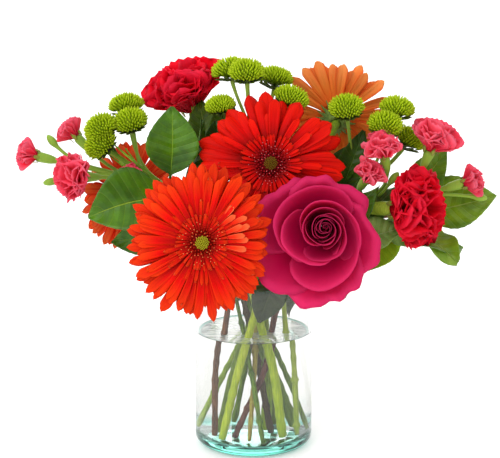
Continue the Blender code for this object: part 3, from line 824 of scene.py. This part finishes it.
def make_petal_grain_and_shade():
    """Node group: streaks that run out along a petal, where a point lies on it, its own tone, and
    its painted shade.
    """
    marks = ["Streak", "Along", "Edge", "Own", "Depth"]
    tree, start, end = new_group("petal_grain_and_shade", ["Fineness"], marks)
    chart = add_node(tree, "UVMap", uv_map="Blade").outputs["UV"]
    parts = add_node(tree, "SeparateXYZ", chart).outputs
    tint = add_node(tree, "Attribute", attribute_name="Tint").outputs
    own = add_node(tree, "SeparateColor", tint["Color"]).outputs
    long = add_node(tree, "Mapping", Vector=chart, Scale=(1, 0.10, 1)).outputs["Vector"]
    shift = add_node(tree, "VectorMath", long, tint["Vector"], operation="ADD").outputs["Vector"]
    feed(end, {
        "Streak": add_noise(
            tree, shift, Scale=start.outputs["Fineness"], Detail=3, Roughness=0.6
        ),
        "Along": parts["Y"],
        "Edge": add_sum(tree, "ABSOLUTE", add_sum(tree, "SUBTRACT", parts["X"], 0.5)),
        "Own": own["Red"],
        # Painted shade: the second channel of the blade's tint, high where a blade lies deep in a
        # head
        "Depth": own["Green"],
    })
    return tree


def make_petal_material(
    name, dyes, stripe=0.35, rim=None, rise=(0.05, 0.45, 0.95), fineness=16, glow=0.2, painted_edge_shade=0.45
):
    """A petal's colours from base to edge, with streaks, its own tone, painted shade where it lies
    deep in a head and along its very edge, and a soft glow.
    """
    deep, body, light = (dye(code) for code in dyes)
    material, tree, shader = new_material(name)
    grain = add_node(tree, "Group", node_tree=PETAL_GRAIN_AND_SHADE, Fineness=fineness).outputs
    colour = add_mix(tree, add_ramp(tree, grain["Along"], rise[0], rise[1], 0, 1), deep, body)
    colour = add_mix(tree, add_ramp(tree, grain["Along"], rise[1], rise[2], 0, 1), colour, light)
    if rim:
        colour = add_mix(tree, add_ramp(tree, grain["Edge"], 0.34, 0.45, 0, 0.55), colour, dye(rim))
    # Painted shade: the colour darkened towards the deep colour, laid where a petal lies deep in
    # its head and along its very edge, where petals shade one another
    dark = add_mix(tree, 1, colour, (*(0.62 * c for c in deep[:3]), 1), "MULTIPLY")
    for mark, low, high, most, shade in (
        ("Streak", 0.50, 0.72, stripe, deep),
        ("Own", 0, 1, 0.25, deep),
        ("Depth", 0, 1, 0.75, dark),
        ("Edge", 0.455, 0.5, painted_edge_shade, dark),
    ):
        colour = add_mix(tree, add_ramp(tree, grain[mark], low, high, 0, most), colour, shade)
    feed(shader, {
        "Base Color": colour,
        "Normal": add_bump(tree, grain["Streak"], 0.35, 0.0006),
        "Roughness": add_ramp(tree, grain["Streak"], 0.3, 0.7, 0.62, 0.5),
        "Specular IOR Level": 0.10,
    })
    through = add_node(tree, "BsdfTranslucent", Color=colour)
    blend = add_node(tree, "MixShader", glow, shader.outputs[0], through.outputs[0])
    feed(tree.nodes["Material Output"], {"Surface": blend.outputs[0]})
    return material


def crowded(sheet):
    """The same sheet with its rows drawn towards its far edge, so that a tip comes out round."""
    across, along, faces = sheet
    return across, 1 - (1 - along) ** 1.6, faces


def solid_form(add, **settings):
    """Corners of a plain small body, and its sheet, with its height as its way along."""
    clear_selection()
    add(**settings)
    spots, faces = take_form()
    high = (spots[:, 2] - spots[:, 2].min()) / np.ptp(spots[:, 2])
    return spots, (np.zeros(len(spots)), high, faces)


def facing_frame(way):
    """Sideways, upwards and outwards of a head that faces the given way."""
    aside = np.cross((0, 0, 1), way)
    side = unit(aside) if np.linalg.norm(aside) > 1e-4 else np.array([1.0, 0, 0])
    return np.array([side, np.cross(way, side), way])


def set_form(spots, place, way, sizes):
    """A small body turned to a way, stretched and put in place."""
    return place + (spots * np.array(sizes)) @ facing_frame(way)


def turned(turn, out, up, aside=0):
    """Places at a turn round a head's axis: out from it, up along it, and aside across."""
    x = out * math.cos(turn) + aside * math.sin(turn)
    y = out * math.sin(turn) - aside * math.cos(turn)
    return np.stack([x, y, up], axis=-1)


def stem_end(node, middle, count):
    """Middle of the corners of a stem that lie nearest to a head."""
    ends = corners(node)
    return ends[np.argsort(np.linalg.norm(ends - middle, axis=1))[:count]].mean(axis=0)


def gerbera_frame(name):
    """Middle, own frame and radius of a gerbera head."""
    rays = corners(name + "_rays")
    middle = rays.mean(axis=0)
    way = np.linalg.svd(rays - middle)[2][2]
    if way @ (middle - stem_end(name + "_stem", middle, 16)) < 0:
        way = -way
    return middle, facing_frame(way), np.linalg.norm(rays - middle, axis=1).max()


def ray(turn, start, length, width, height, lift, droop, bow, cup, sway, twist):
    """A gerbera ray in its head's own frame."""
    u, v, _ = ray_grid
    half = width / 2 * np.interp(v, *RAY_OUTLINE)
    grooves = np.cos(3 * math.pi * u)
    arch = np.sin(math.pi * v)
    blunt = np.clip((v - 0.80) / 0.20, 0, 1)
    out = start + length * (v - 0.05 * u * u * blunt + 0.010 * grooves * blunt)
    rise = height + length * (lift * v + bow * arch - droop * v**2.5)
    rise += half * (cup * u * u + RAY_GROOVE * grooves * arch + u * np.tan(twist * v))
    return turned(turn, out, rise, half * u + sway * length * v * v)


def gerbera_rays(name, whorls, head, rng):
    radius = head[2]
    wide, high = GERBERA_SPREAD.get(name, (1, 1))
    shades = FULL_PAINTED_SHADE if len(whorls) > 2 else PLAIN_PAINTED_SHADE
    blades = []
    for shade, (rays, start, length, width, height, lift, droop) in zip(shades, whorls):
        offset = rng.uniform(0, 6)
        for i in range(rays):
            turn = offset + 2 * math.pi * (i + rng.uniform(-0.22, 0.22)) / rays
            reach = rng.uniform(0.88, 1.03)
            reach *= length * radius * math.hypot(wide * math.cos(turn), high * math.sin(turn))
            places = ray(
                turn,
                start * radius,
                reach,
                width * rng.uniform(0.85, 1.12),
                height + rng.uniform(-0.0008, 0.0008),
                lift + rng.uniform(-0.05, 0.05),
                droop + rng.uniform(-0.04, 0.06),
                bow=rng.uniform(0.02, 0.06),
                cup=rng.uniform(-0.55, 0.45),
                sway=rng.uniform(-0.07, 0.07),
                twist=rng.uniform(-0.55, 0.55),
            )
            # Painted shade of the ray: its whorl's, and a little more at random
            depth = shade + rng.uniform(0, 0.12)
            blades.append(blade(ray_grid, places, (rng.uniform(), depth, 0), 0, head))
    return blades


def bract_cup(head, rng):
    u, v, _ = tooth_grid
    aside = 0.0016 * u * (1.02 - v) ** 0.6
    blades = []
    for row in range(BRACT_ROWS):
        out = 0.0060 - 0.0014 * row + (0.0118 - 0.003 * row) * v
        up = -0.0125 - 0.005 * row + 0.0108 * v**0.8
        for i in range(BRACTS):
            turn = 2 * math.pi * (i + row / 2 + rng.uniform(-0.1, 0.1)) / BRACTS
            blades.append(blade(tooth_grid, turned(turn, out, up, aside), head=head))
    return blades


def disc_florets(head, rng):
    """The domed core, a ring of florets, some open with a pale tip, and the tight green eye."""
    radius = head[2]
    blades = []

    def add(form, spots, root, way, sizes, tint, finish):
        blades.append(blade(form, set_form(spots, root, way, sizes), tint, finish, head))

    # Painted shade: the hidden core is painted dark, and the ring of florets a little darker
    add(bud_form, bud_spots, np.zeros(3), UPRIGHT, DISC_CORE * radius, (0.5, 0.8, 0), 0)
    for i in range(DISC_FLORETS):
        share = math.sqrt((i + DISC_HOLE) / (DISC_FLORETS + DISC_HOLE))
        turn = i * GOLDEN_TURN
        root = turned(turn, radius * DISC_SHARE * share, radius * (0.075 - 0.05 * share))
        lean = unit(turned(turn, 0.9 * share, 1.0))
        tall = rng.uniform(*FLORET_HEIGHTS) * (0.65 + 0.5 * share)
        slim = (FLORET_WIDTH, FLORET_WIDTH, tall)
        add(floret_form, floret_spots, root, lean, slim, (rng.uniform(), 0.1, 0), 0)
        if rng.uniform() < OPEN_FLORETS:
            tip = root + lean * tall * 1.03
            add(bud_form, bud_spots, tip, lean, OPEN_TIP, (rng.uniform(), 0, 0), 1)
    for i in range(EYE_FLORETS):
        share = math.sqrt((i + 0.5) / EYE_FLORETS)
        up = radius * (0.135 - 0.03 * share**2)
        root = turned(i * GOLDEN_TURN, radius * EYE_SHARE * share, up)
        add(bud_form, bud_spots, root, UPRIGHT, EYE_BUD, (rng.uniform(), 0, 0), 2)
    return blades


PETAL_GRAIN_AND_SHADE = make_petal_grain_and_shade()
UPRIGHT = np.array([0, 0, 1.0])
ray_grid = crowded(flat_sheet(*RAY_SHEET))
tooth_grid = flat_sheet(4, 5)
bud_spots, bud_form = solid_form(bpy.ops.mesh.primitive_ico_sphere_add, subdivisions=1, radius=1)
floret_spots, floret_form = solid_form(
    bpy.ops.mesh.primitive_cone_add,
    vertices=5,
    radius1=0.45,
    radius2=1.0,
    depth=1,
    location=(0, 0, 0.5),
)
bract_finish = make_stem_material("gerbera_bract", "7E9A48", "4E6828", 900, 0.5, 0.6)

for number, (name, whorls) in enumerate(GERBERA_WHORLS.items()):
    rng = np.random.default_rng(100 + number)
    head = gerbera_frame(name)
    front, back, stripe = GERBERA_DYES[name]
    finishes = [
        make_petal_material(name + "_ray", front, stripe, front[2], (0.24, 0.60, 0.98)),
        make_petal_material(name + "_ray_back", back, stripe, back[0], glow=0.45),
    ]
    blades = gerbera_rays(name, whorls, head, rng)
    rays_piece = grow(name + "_whorls", blades, finishes, RAY_THICKNESS)
    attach(rays_piece, "root")
    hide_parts(name + "_rays")

    bracts = grow(name + "_bracts", bract_cup(head, rng), [bract_finish], BRACT_THICKNESS)
    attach(bracts, "root")

    floret_dark, floret_pale = FLORET_DYES.get(name, OTHER_FLORETS)
    eye_light, eye_dark = EYE_DYES.get(name, OTHER_EYES)
    finishes = [
        make_petal_material(name + "_floret", floret_dark, 0.3),
        make_petal_material(name + "_floret_tip", floret_pale, 0.1),
        make_petal_material(name + "_eye", (eye_dark, eye_light, eye_light), 0.3),
    ]
    disc = grow(name + "_florets", disc_florets(head, rng), finishes)
    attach(disc, "root")
    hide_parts(name + "_disc")


# On one side of the front gerbera a patch of inner rays has opened paler than the rest. They are
# short, and stand up out of the whorls.
PALE_RAYS = 8
PALE_DYES = ("E80C02", "FF3810", "FF6A38")
PALE_RIM = "FF8050"
rng = np.random.default_rng(150)
head = gerbera_frame("gerbera_front")
radius = head[2]
blades = []
for i in range(PALE_RAYS):
    places = ray(
        -0.15 + 0.95 * i / (PALE_RAYS - 1) + rng.uniform(-0.05, 0.05),
        (0.30 + 0.10 * (i % 2)) * radius,
        0.30 * radius * rng.uniform(0.8, 1.1),
        width=0.0048,
        height=0.003,
        lift=0.30,
        droop=0.10,
        bow=0.05,
        cup=rng.uniform(-0.5, 0.5),
        sway=rng.uniform(-0.1, 0.1),
        twist=rng.uniform(-0.5, 0.5),
    )
    # A little painted shade on each pale ray, at random
    blades.append(blade(ray_grid, places, (0, rng.uniform(0, 0.1), 0), 0, head))
pale_finish = [
    make_petal_material("pale_ray", PALE_DYES, 0.4, PALE_RIM, (0.2, 0.5, 0.9)),
    make_petal_material("pale_ray_back", GERBERA_DYES["gerbera_front"][1], 0.4),
]
pale_rays = grow("gerbera_front_pale_rays", blades, pale_finish, RAY_THICKNESS)
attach(pale_rays, "root")


# The rose is fully open: a tight spiral heart, then petals that wrap round it and open outwards,
# each with its rim rolled back. The petals are joined at their base on a green hip.
ROSE_SHEET = (28, 18)
ROSE_THICKNESS = 0.0004
ROSE_RISE = 0.47
ROSE_SAG = np.array([-0.0020, 0.0, -0.0040])
ROSE_HEART_SHIFT = 0.24
ROSE_NOD = 0.13
ROSE_CORE = (0.085, 0.14, 0.04)
ROSE_CORE_SIZE = (0.05, 0.05, 0.18)
ROSE_INSIDE = ("A40036", "D81058", "EC3474")
ROSE_OUTSIDE = ("A40036", "DC1C60", "F24C88")
ROSE_LOOK = {"stripe": 0.16, "rise": (0.20, 0.58, 1.0), "fineness": 8, "glow": 0.38, "painted_edge_shade": 0}
# Petals from the heart out: how many, half-angle, then the path of the middle line from base to
# rim as shares of the radius (out, up), how far one side tucks in, the first petal's turn, and how
# far the rim rolls and ripples
ROSE_WHORLS = (
    (2, 2.8, ((0.02, -0.30), (0.04, 0.0), (0.05, 0.20), (0.03, 0.27)), 0.50, 0.3, 0.000),
    (3, 2.3, ((0.03, -0.32), (0.10, -0.02), (0.11, 0.24), (0.09, 0.31)), 0.35, 1.0, 0.000),
    (3, 2.2, ((0.05, -0.34), (0.16, -0.06), (0.17, 0.26), (0.16, 0.34)), 0.30, 2.1, 0.006),
    (3, 2.1, ((0.06, -0.36), (0.24, -0.12), (0.25, 0.22), (0.24, 0.36)), 0.28, 0.4, 0.008),
    (2, 2.4, ((0.06, -0.36), (0.32, -0.20), (0.36, 0.14), (0.39, 0.34)), 0.40, 2.75, 0.012),
    (2, 2.3, ((0.08, -0.38), (0.40, -0.30), (0.50, 0.00), (0.56, 0.27)), 0.42, 4.3, 0.018),
    (2, 2.1, ((0.08, -0.40), (0.48, -0.38), (0.66, -0.10), (0.76, 0.14)), 0.32, 2.9, 0.026),
    (5, 1.05, ((0.08, -0.45), (0.58, -0.50), (0.84, -0.34), (1.02, -0.14)), 0.14, 1.40, 0.085),
)


def widest(spots, seat, way):
    """How far the spots of a head reach from its axis."""
    away = spots - seat
    return np.linalg.norm(away - np.outer(away @ way, way), axis=1).max()


def rose_petal(turn, half_angle, path, tuck, curl, radius, rng):
    """A petal that wraps round the rose's axis, in the head's own frame."""
    u, v, _ = rose_grid
    reach = v * (1 - 0.48 * np.abs(u) ** 3.5 + 1.6 * curl * np.exp(-((u / 0.12) ** 2)))
    back = 1 - reach
    weights = (back**3, 3 * back * back * reach, 3 * back * reach**2, reach**3)
    out, up = (np.array(path) * radius).T @ np.array(weights)
    roll = np.clip((v - 0.88) / 0.12, 0, 1) ** 2 * curl * radius
    waves = rng.uniform(1.5, 2.8) * math.pi * u
    phase = rng.uniform(0, 6)
    ripple = (0.010 + 0.5 * curl) * radius * v**3 * np.sin(waves + phase)
    ripple += 0.22 * curl * radius * v**6 * np.sin(3.1 * waves + 2 * phase)
    out = out * (1 + tuck * u) + roll + ripple
    up = up - 0.8 * roll + 0.6 * ripple
    around = turn - u * half_angle * np.interp(v, (0, 0.35, 0.8, 1), (0.45, 0.9, 1.0, 0.96))
    shift = ROSE_HEART_SHIFT * (1 - np.clip(out / radius, 0, 1))
    shift = rose_radius * (shift - ROSE_NOD * np.clip(up / radius + 0.45, 0, 1))
    return np.stack([out * np.cos(around) + 0.6 * shift, out * np.sin(around) + shift, up], axis=1)


rng = np.random.default_rng(7)
heart_middle = corners("rose_heart").mean(axis=0)
rose_seat = stem_end("rose_stem", heart_middle, 8)
rose_way = unit(heart_middle - rose_seat)
rose_radius = widest(corners("rose_outer_petals"), rose_seat, rose_way)
rose_middle = rose_seat + rose_way * ROSE_RISE * rose_radius + ROSE_SAG
rose_head = rose_middle, facing_frame(rose_way)

rose_grid = flat_sheet(*ROSE_SHEET)
petals = []
for layer, (count, half_angle, path, tuck, first, curl) in enumerate(ROSE_WHORLS):
    # Painted shade: the inner whorls of the heart are painted darker, the innermost most, where the
    # outer petals shade them
    depth = max(0.75 - 0.14 * layer, 0)
    for i in range(count):
        turn = first + 2 * math.pi * (i + rng.uniform(-0.10, 0.10)) / count
        radius = rose_radius * rng.uniform(0.88, 1.02)
        places = rose_petal(
            turn, half_angle * rng.uniform(0.92, 1.08), path, tuck, curl, radius, rng
        )
        petals.append(blade(rose_grid, places, (rng.uniform(), depth, 0), 0, rose_head))
# The small core in the heart is painted fully dark as painted shade
core = set_form(
    bud_spots, np.array(ROSE_CORE) * rose_radius, UPRIGHT, np.array(ROSE_CORE_SIZE) * rose_radius
)
petals.append(blade(bud_form, core, (0.5, 1, 0), 0, rose_head))
rose_finish = [
    make_petal_material("rose_inside", ROSE_INSIDE, **ROSE_LOOK),
    make_petal_material("rose_outside", ROSE_OUTSIDE, **ROSE_LOOK),
]
rose = grow("rose_petals", petals, rose_finish, ROSE_THICKNESS)
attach(rose, "root")
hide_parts("rose_outer_petals", "rose_inner_petals", "rose_heart")


# The two large carnations are dense heads of frilled fan-shaped petals that burst from a tall green
# calyx. The small spray carnations are built the same way, several to a stem, and some are only
# half open.
FAN_SHEET = (18, 9)
FAN_OUTLINE = ((0, 0.3, 0.7, 0.9, 1), (0.12, 0.52, 0.96, 0.94, 0.78))
FAN_THICKNESS = 0.0004
FAN_FRAY = 0.022
CALYX_POINTS = 5
CALYX_THICKNESS = 0.0005
CALYX_SINK = np.array([0, 0, 0.002])
# Whorls from the middle out: petals, tilt of the petal's edge in degrees, length by the width
OPEN_WHORLS = ((4, 10, 0.62), (6, 30, 0.62), (7, 52, 0.60), (8, 78, 0.57), (9, 106, 0.52))
SMALL_WHORLS = ((3, 10, 0.66), (4, 34, 0.66), (6, 62, 0.62), (6, 92, 0.56))
HALF_WHORLS = ((3, 10, 0.74), (5, 26, 0.72), (6, 48, 0.66))
CARNATIONS = ("carnation_back", "carnation_right", "spray_left", "spray_right")
# The bloom of each spray that is further open than its other three
OPENED_BLOOM = {"spray_left": 3, "spray_right": 2}
SPRAY_BLOOMS = (1, 2, 3, 4)
CARNATION_DYES = (("B00014", "EE001C", "FF1434"), "FF2C4C", ("C00018", "F4042C", "FF2C50"), 0.20)
CORAL_DYES = (("F00C30", "FF2C50", "FF6A88"), "FF90A8", ("F82848", "FF4C6C", "FF86A0"), 0.15)


def head_seat(head, stem, count):
    """Where a head sits on its stem, its own frame, and its radius."""
    spots = corners(head)
    middle = spots.mean(axis=0)
    seat = stem_end(stem, middle, count)
    way = unit(middle - seat)
    return seat, facing_frame(way), widest(spots, seat, way)


def fan_petal(sheet, turn, root, tilts, length, spread, ruffle=0, waves=1, phase=0, fray=0):
    """A fan-shaped petal that bends outwards from a calyx, in the head's own frame."""
    u, v, _ = sheet
    teeth = np.cos(math.pi * (u + 1) / 2 * FAN_SHEET[0])
    reach = v * (1 - 0.24 * u * u) * (1 + fray * teeth * v**4)
    low, high = tilts
    bend = max(high - low, 0.02)
    tilt = low + bend * reach
    fold = ruffle * length * v**2 * np.sin(waves * math.pi * u + phase)
    fold += 0.25 * ruffle * length * v**5 * np.sin(6.5 * math.pi * u + 2 * phase)
    out = root + length / bend * (np.cos(low) - np.cos(tilt)) - np.cos(tilt) * fold
    up = length / bend * (np.sin(tilt) - np.sin(low)) + np.sin(tilt) * fold
    return turned(turn, out, up, spread * length * np.interp(v, *FAN_OUTLINE) * u)


def carnation_head(head, whorls, rng):
    width = 2 * head[2]
    blades = []
    for layer, (count, tilt, length) in enumerate(whorls):
        offset = rng.uniform(0, 6)
        # Painted shade: the inner whorls are painted a little darker, deep in the head
        deep = 1 - layer / (len(whorls) - 1)
        for i in range(count):
            places = fan_petal(
                fan_grid,
                offset + 2 * math.pi * (i + rng.uniform(-0.3, 0.3)) / count,
                0.03 * width + 0.06 * width * layer / len(whorls),
                np.radians((rng.uniform(2, 9), tilt + rng.uniform(-12, 12))),
                length * width * rng.uniform(0.86, 1.02),
                spread=rng.uniform(0.70, 0.95),
                ruffle=rng.uniform(0.05, 0.11),
                waves=rng.uniform(1.3, 2.6),
                phase=rng.uniform(0, 6),
                fray=FAN_FRAY,
            )
            blades.append(blade(fan_grid, places, (rng.uniform(), 0.15 * deep, 0), 0, head))
    return blades


def calyx_teeth(head, rng):
    """The points of a calyx, which clasp the petals and narrow to their tips."""
    mouth, length = 0.20 * head[2] + 0.0024, 0.16 * head[2] + 0.006
    narrow = (1 - tooth_grid[1]) ** 0.7 + 0.02
    blades = []
    for i in range(CALYX_POINTS):
        turn = 2 * math.pi * i / CALYX_POINTS
        places = fan_petal(
            tooth_grid, turn + rng.uniform(-0.1, 0.1), mouth, (0.05, 0.45), length, 0.42
        )
        centre = turned(turn, 1, 0)
        middle_line = np.outer(places @ centre, centre) + UPRIGHT * places[:, 2:]
        places = middle_line + (places - middle_line) * narrow[:, None] - CALYX_SINK
        blades.append(blade(tooth_grid, places, (rng.uniform(), 0, 0), 0, head))
    return blades


def petal_sides(name, dyes):
    inside, rim, outside, stripe = dyes
    look = {"stripe": stripe, "fineness": 22, "glow": 0.45, "painted_edge_shade": 0}
    return [
        make_petal_material(name + "_inside", inside, rim=rim, **look),
        make_petal_material(name + "_outside", outside, **look),
    ]


fan_grid = flat_sheet(*FAN_SHEET)
carnation_finish = petal_sides("carnation", CARNATION_DYES)
coral_finish = petal_sides("coral", CORAL_DYES)
sepal_finish = [make_stem_material("calyx_point", "8FA83C", "7A6A34", 700, 0.3, 0.5)]

for number, name in enumerate(CARNATIONS):
    rng = np.random.default_rng(300 + number)
    heads = {name + "_bloom": OPEN_WHORLS}
    many = name in OPENED_BLOOM
    if many:
        heads = {f"{name}_bloom_{i}": HALF_WHORLS for i in SPRAY_BLOOMS}
        heads[f"{name}_bloom_{OPENED_BLOOM[name]}"] = SMALL_WHORLS
    blades, points = [], []
    for node, whorls in heads.items():
        head = head_seat(node, name + "_stem", 6 if many else 8)
        blades += carnation_head(head, whorls, rng)
        points += calyx_teeth(head, rng)
    finishes = coral_finish if many else carnation_finish
    bloom = grow(name + "_frills", blades, finishes, FAN_THICKNESS)
    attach(bloom, "root")
    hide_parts(*heads)
    sepals = grow(name + "_calyx_points", points, sepal_finish, CALYX_THICKNESS)
    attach(sepals, "root")


# Button poms are small chrysanthemums: a flat-bottomed dome packed with short quilled florets that
# curl inwards, over a dark cup of bracts. Three or four share a branched stem, and a smaller one
# sits low between them.
POM_FLORETS = 190
POM_BRACTS = 26
POM_SWELL = 1.15
POM_HEIGHT = 1.18
POM_WRAP = 1.18
POM_FLORET_WIDTHS = (0.00070, 0.00095)
POM_FLORET_HEIGHTS = (0.0026, 0.0040)
POM_BRACT = (0.0016, 0.0009, 0.0045)
POM_DYES = ("84A008", "C4E20C", "E2F438")
POM_BRACT_DYES = ("2E4010", "4A6018", "66782A")
POM_NODES = {"poms_left": 3, "poms_centre": 4, "poms_right": 4}
# Seat from the middle of the rim, the way it faces, and radius
SMALL_POMS = {
    "poms_left_small": ((-0.1260, 0.0040, 0.1240), (-0.40, -0.45, 0.80), 0.0150),
    "poms_centre_small": ((-0.0270, 0.0000, 0.1420), (-0.15, -0.10, 0.97), 0.0130),
}
STALK_FOOT = np.array([0, 0, -0.016])
STALK_LEAN = np.array([0.0, 0.05, 1.0])
STALK_SIZE = (0.0013, 0.0013, 0.018)


def pack_florets(head, rng):
    """One button: a hidden core, florets at equal turns down its dome, and two rows of bracts, all
    with painted shade: most on the core, more on the florets the lower they sit, and some on the
    bracts.
    """
    r = head[2]
    tall = POM_HEIGHT * r
    dome = np.array([0.86 * r, 0.86 * r, 0.52 * tall])
    core = UPRIGHT * 0.48 * tall + bud_spots * np.array([0.80 * r, 0.80 * r, 0.40 * tall])
    blades = [blade(bud_form, core, (0.5, 1.0, 0), 0, head)]
    for k in range(POM_FLORETS):
        polar = math.acos(1 - (k + 0.5) / POM_FLORETS * POM_WRAP)
        out = turned(k * GOLDEN_TURN, math.sin(polar), math.cos(polar))
        place = UPRIGHT * 0.42 * tall + out * dome + rng.uniform(-0.0003, 0.0003, 3)
        inward = UPRIGHT * 0.75 * math.sin(polar)
        curl = unit(out * np.array([1, 1, 1.1]) + inward + rng.uniform(-0.2, 0.2, 3))
        sizes = (*POM_FLORET_WIDTHS, rng.uniform(*POM_FLORET_HEIGHTS))
        floret = set_form(bud_spots, place, curl, sizes)
        # Painted shade: florets lower down the dome, towards its shaded underside, are painted
        # darker
        shade = 0.15 + 0.5 * max(0, (polar - 1.2)) + rng.uniform(0, 0.25)
        blades.append(blade(bud_form, floret, (rng.uniform(), shade, 0), 0, head))
    for k in range(POM_BRACTS):
        turn = 2 * math.pi * k / POM_BRACTS * 2.02
        row = k % 2
        place = turned(turn, r * (0.35 + 0.32 * row), tall * (0.03 + 0.10 * row))
        bract = set_form(bud_spots, place, unit(turned(turn, 1, 0.35)), POM_BRACT)
        blades.append(blade(bud_form, bract, (rng.uniform(), 0.3, 0), 1, head))
    return blades


pom_finish = [
    make_petal_material("pom_floret", POM_DYES, 0.12, rise=(0.0, 0.45, 1.0), glow=0.3),
    make_petal_material("pom_bract", POM_BRACT_DYES, 0.2),
]
for number, (name, count) in enumerate(POM_NODES.items()):
    rng = np.random.default_rng(500 + number)
    for i in range(count):
        node = f"{name}_{i + 1}"
        seat, axes, r = head_seat(node, name + "_stem", 6 if i else 8)
        blades = pack_florets((seat, axes, r * POM_SWELL), rng)
        pom = grow(node + "_button", blades, pom_finish)
        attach(pom, "root")
        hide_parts(node)

rng = np.random.default_rng(510)
for name, (spot, way, r) in SMALL_POMS.items():
    head = rim_middle + spot, facing_frame(unit(way)), r
    stalk = set_form(bud_spots, STALK_FOOT, STALK_LEAN, STALK_SIZE)
    blades = pack_florets(head, rng) + [blade(bud_form, stalk, (0.5, 0, 0), 1, head)]
    pom = grow(name, blades, pom_finish)
    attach(pom, "root")


# The studio is a plain pale floor with a white surround. Two broad soft lights stand over it, the
# stronger one at the front left and the other behind.
CAMERA_TILT = math.radians(12)
CAMERA_DISTANCE = 1.4
CAMERA_AIM = (-0.00306, 0, 0.190)
SENSOR_WIDTH = 36
# How wide a strip the camera takes in at its aim
SEEN_WIDTH = 0.4285
FLOOR_SIZE = 30
FLOOR_COLOUR = (0.98, 0.98, 0.98, 1)
SURROUND_LIGHT = 0.88

clear_selection()
bpy.ops.mesh.primitive_plane_add(size=FLOOR_SIZE, location=(0, 0, 0))
floor = bpy.context.object
floor.name = "studio_floor"
floor_material, _, floor_shader = new_material("studio_floor")
feed(floor_shader, {"Base Color": FLOOR_COLOUR, "Roughness": 0.7})
floor.data.materials.append(floor_material)

world = bpy.data.worlds.new("studio")
bpy.context.scene.world = world
world.use_nodes = True
surround = world.node_tree.nodes["Background"]
feed(surround, {"Color": (1, 1, 1, 1), "Strength": SURROUND_LIGHT})


def add_soft_light(name, place, spread, strength):
    """A broad, even light that comes from one side and reaches the whole floor alike."""
    x, y, z = place
    bpy.ops.object.light_add(type="SUN", location=place)
    light = bpy.context.object
    light.name = name
    light.data.angle = math.radians(spread)
    light.data.energy = strength
    light.rotation_euler = (math.atan2(math.hypot(x, y), z), 0, math.atan2(x, -y))


add_soft_light("key_light", (-0.9, -1.1, 1.2), 60, 1.7)
add_soft_light("back_light", (0.2, 1.4, 1.0), 60, 1.3)

toward = np.array([0, math.cos(CAMERA_TILT), -math.sin(CAMERA_TILT)])
camera_place = np.array(CAMERA_AIM) - CAMERA_DISTANCE * toward
bpy.ops.object.camera_add(location=camera_place, rotation=(math.pi / 2 - CAMERA_TILT, 0, 0))
camera = bpy.context.object
camera.data.sensor_width = SENSOR_WIDTH
camera.data.lens = SENSOR_WIDTH * CAMERA_DISTANCE / SEEN_WIDTH
bpy.context.scene.camera = camera
bpy.context.scene.view_settings.view_transform = "Standard"
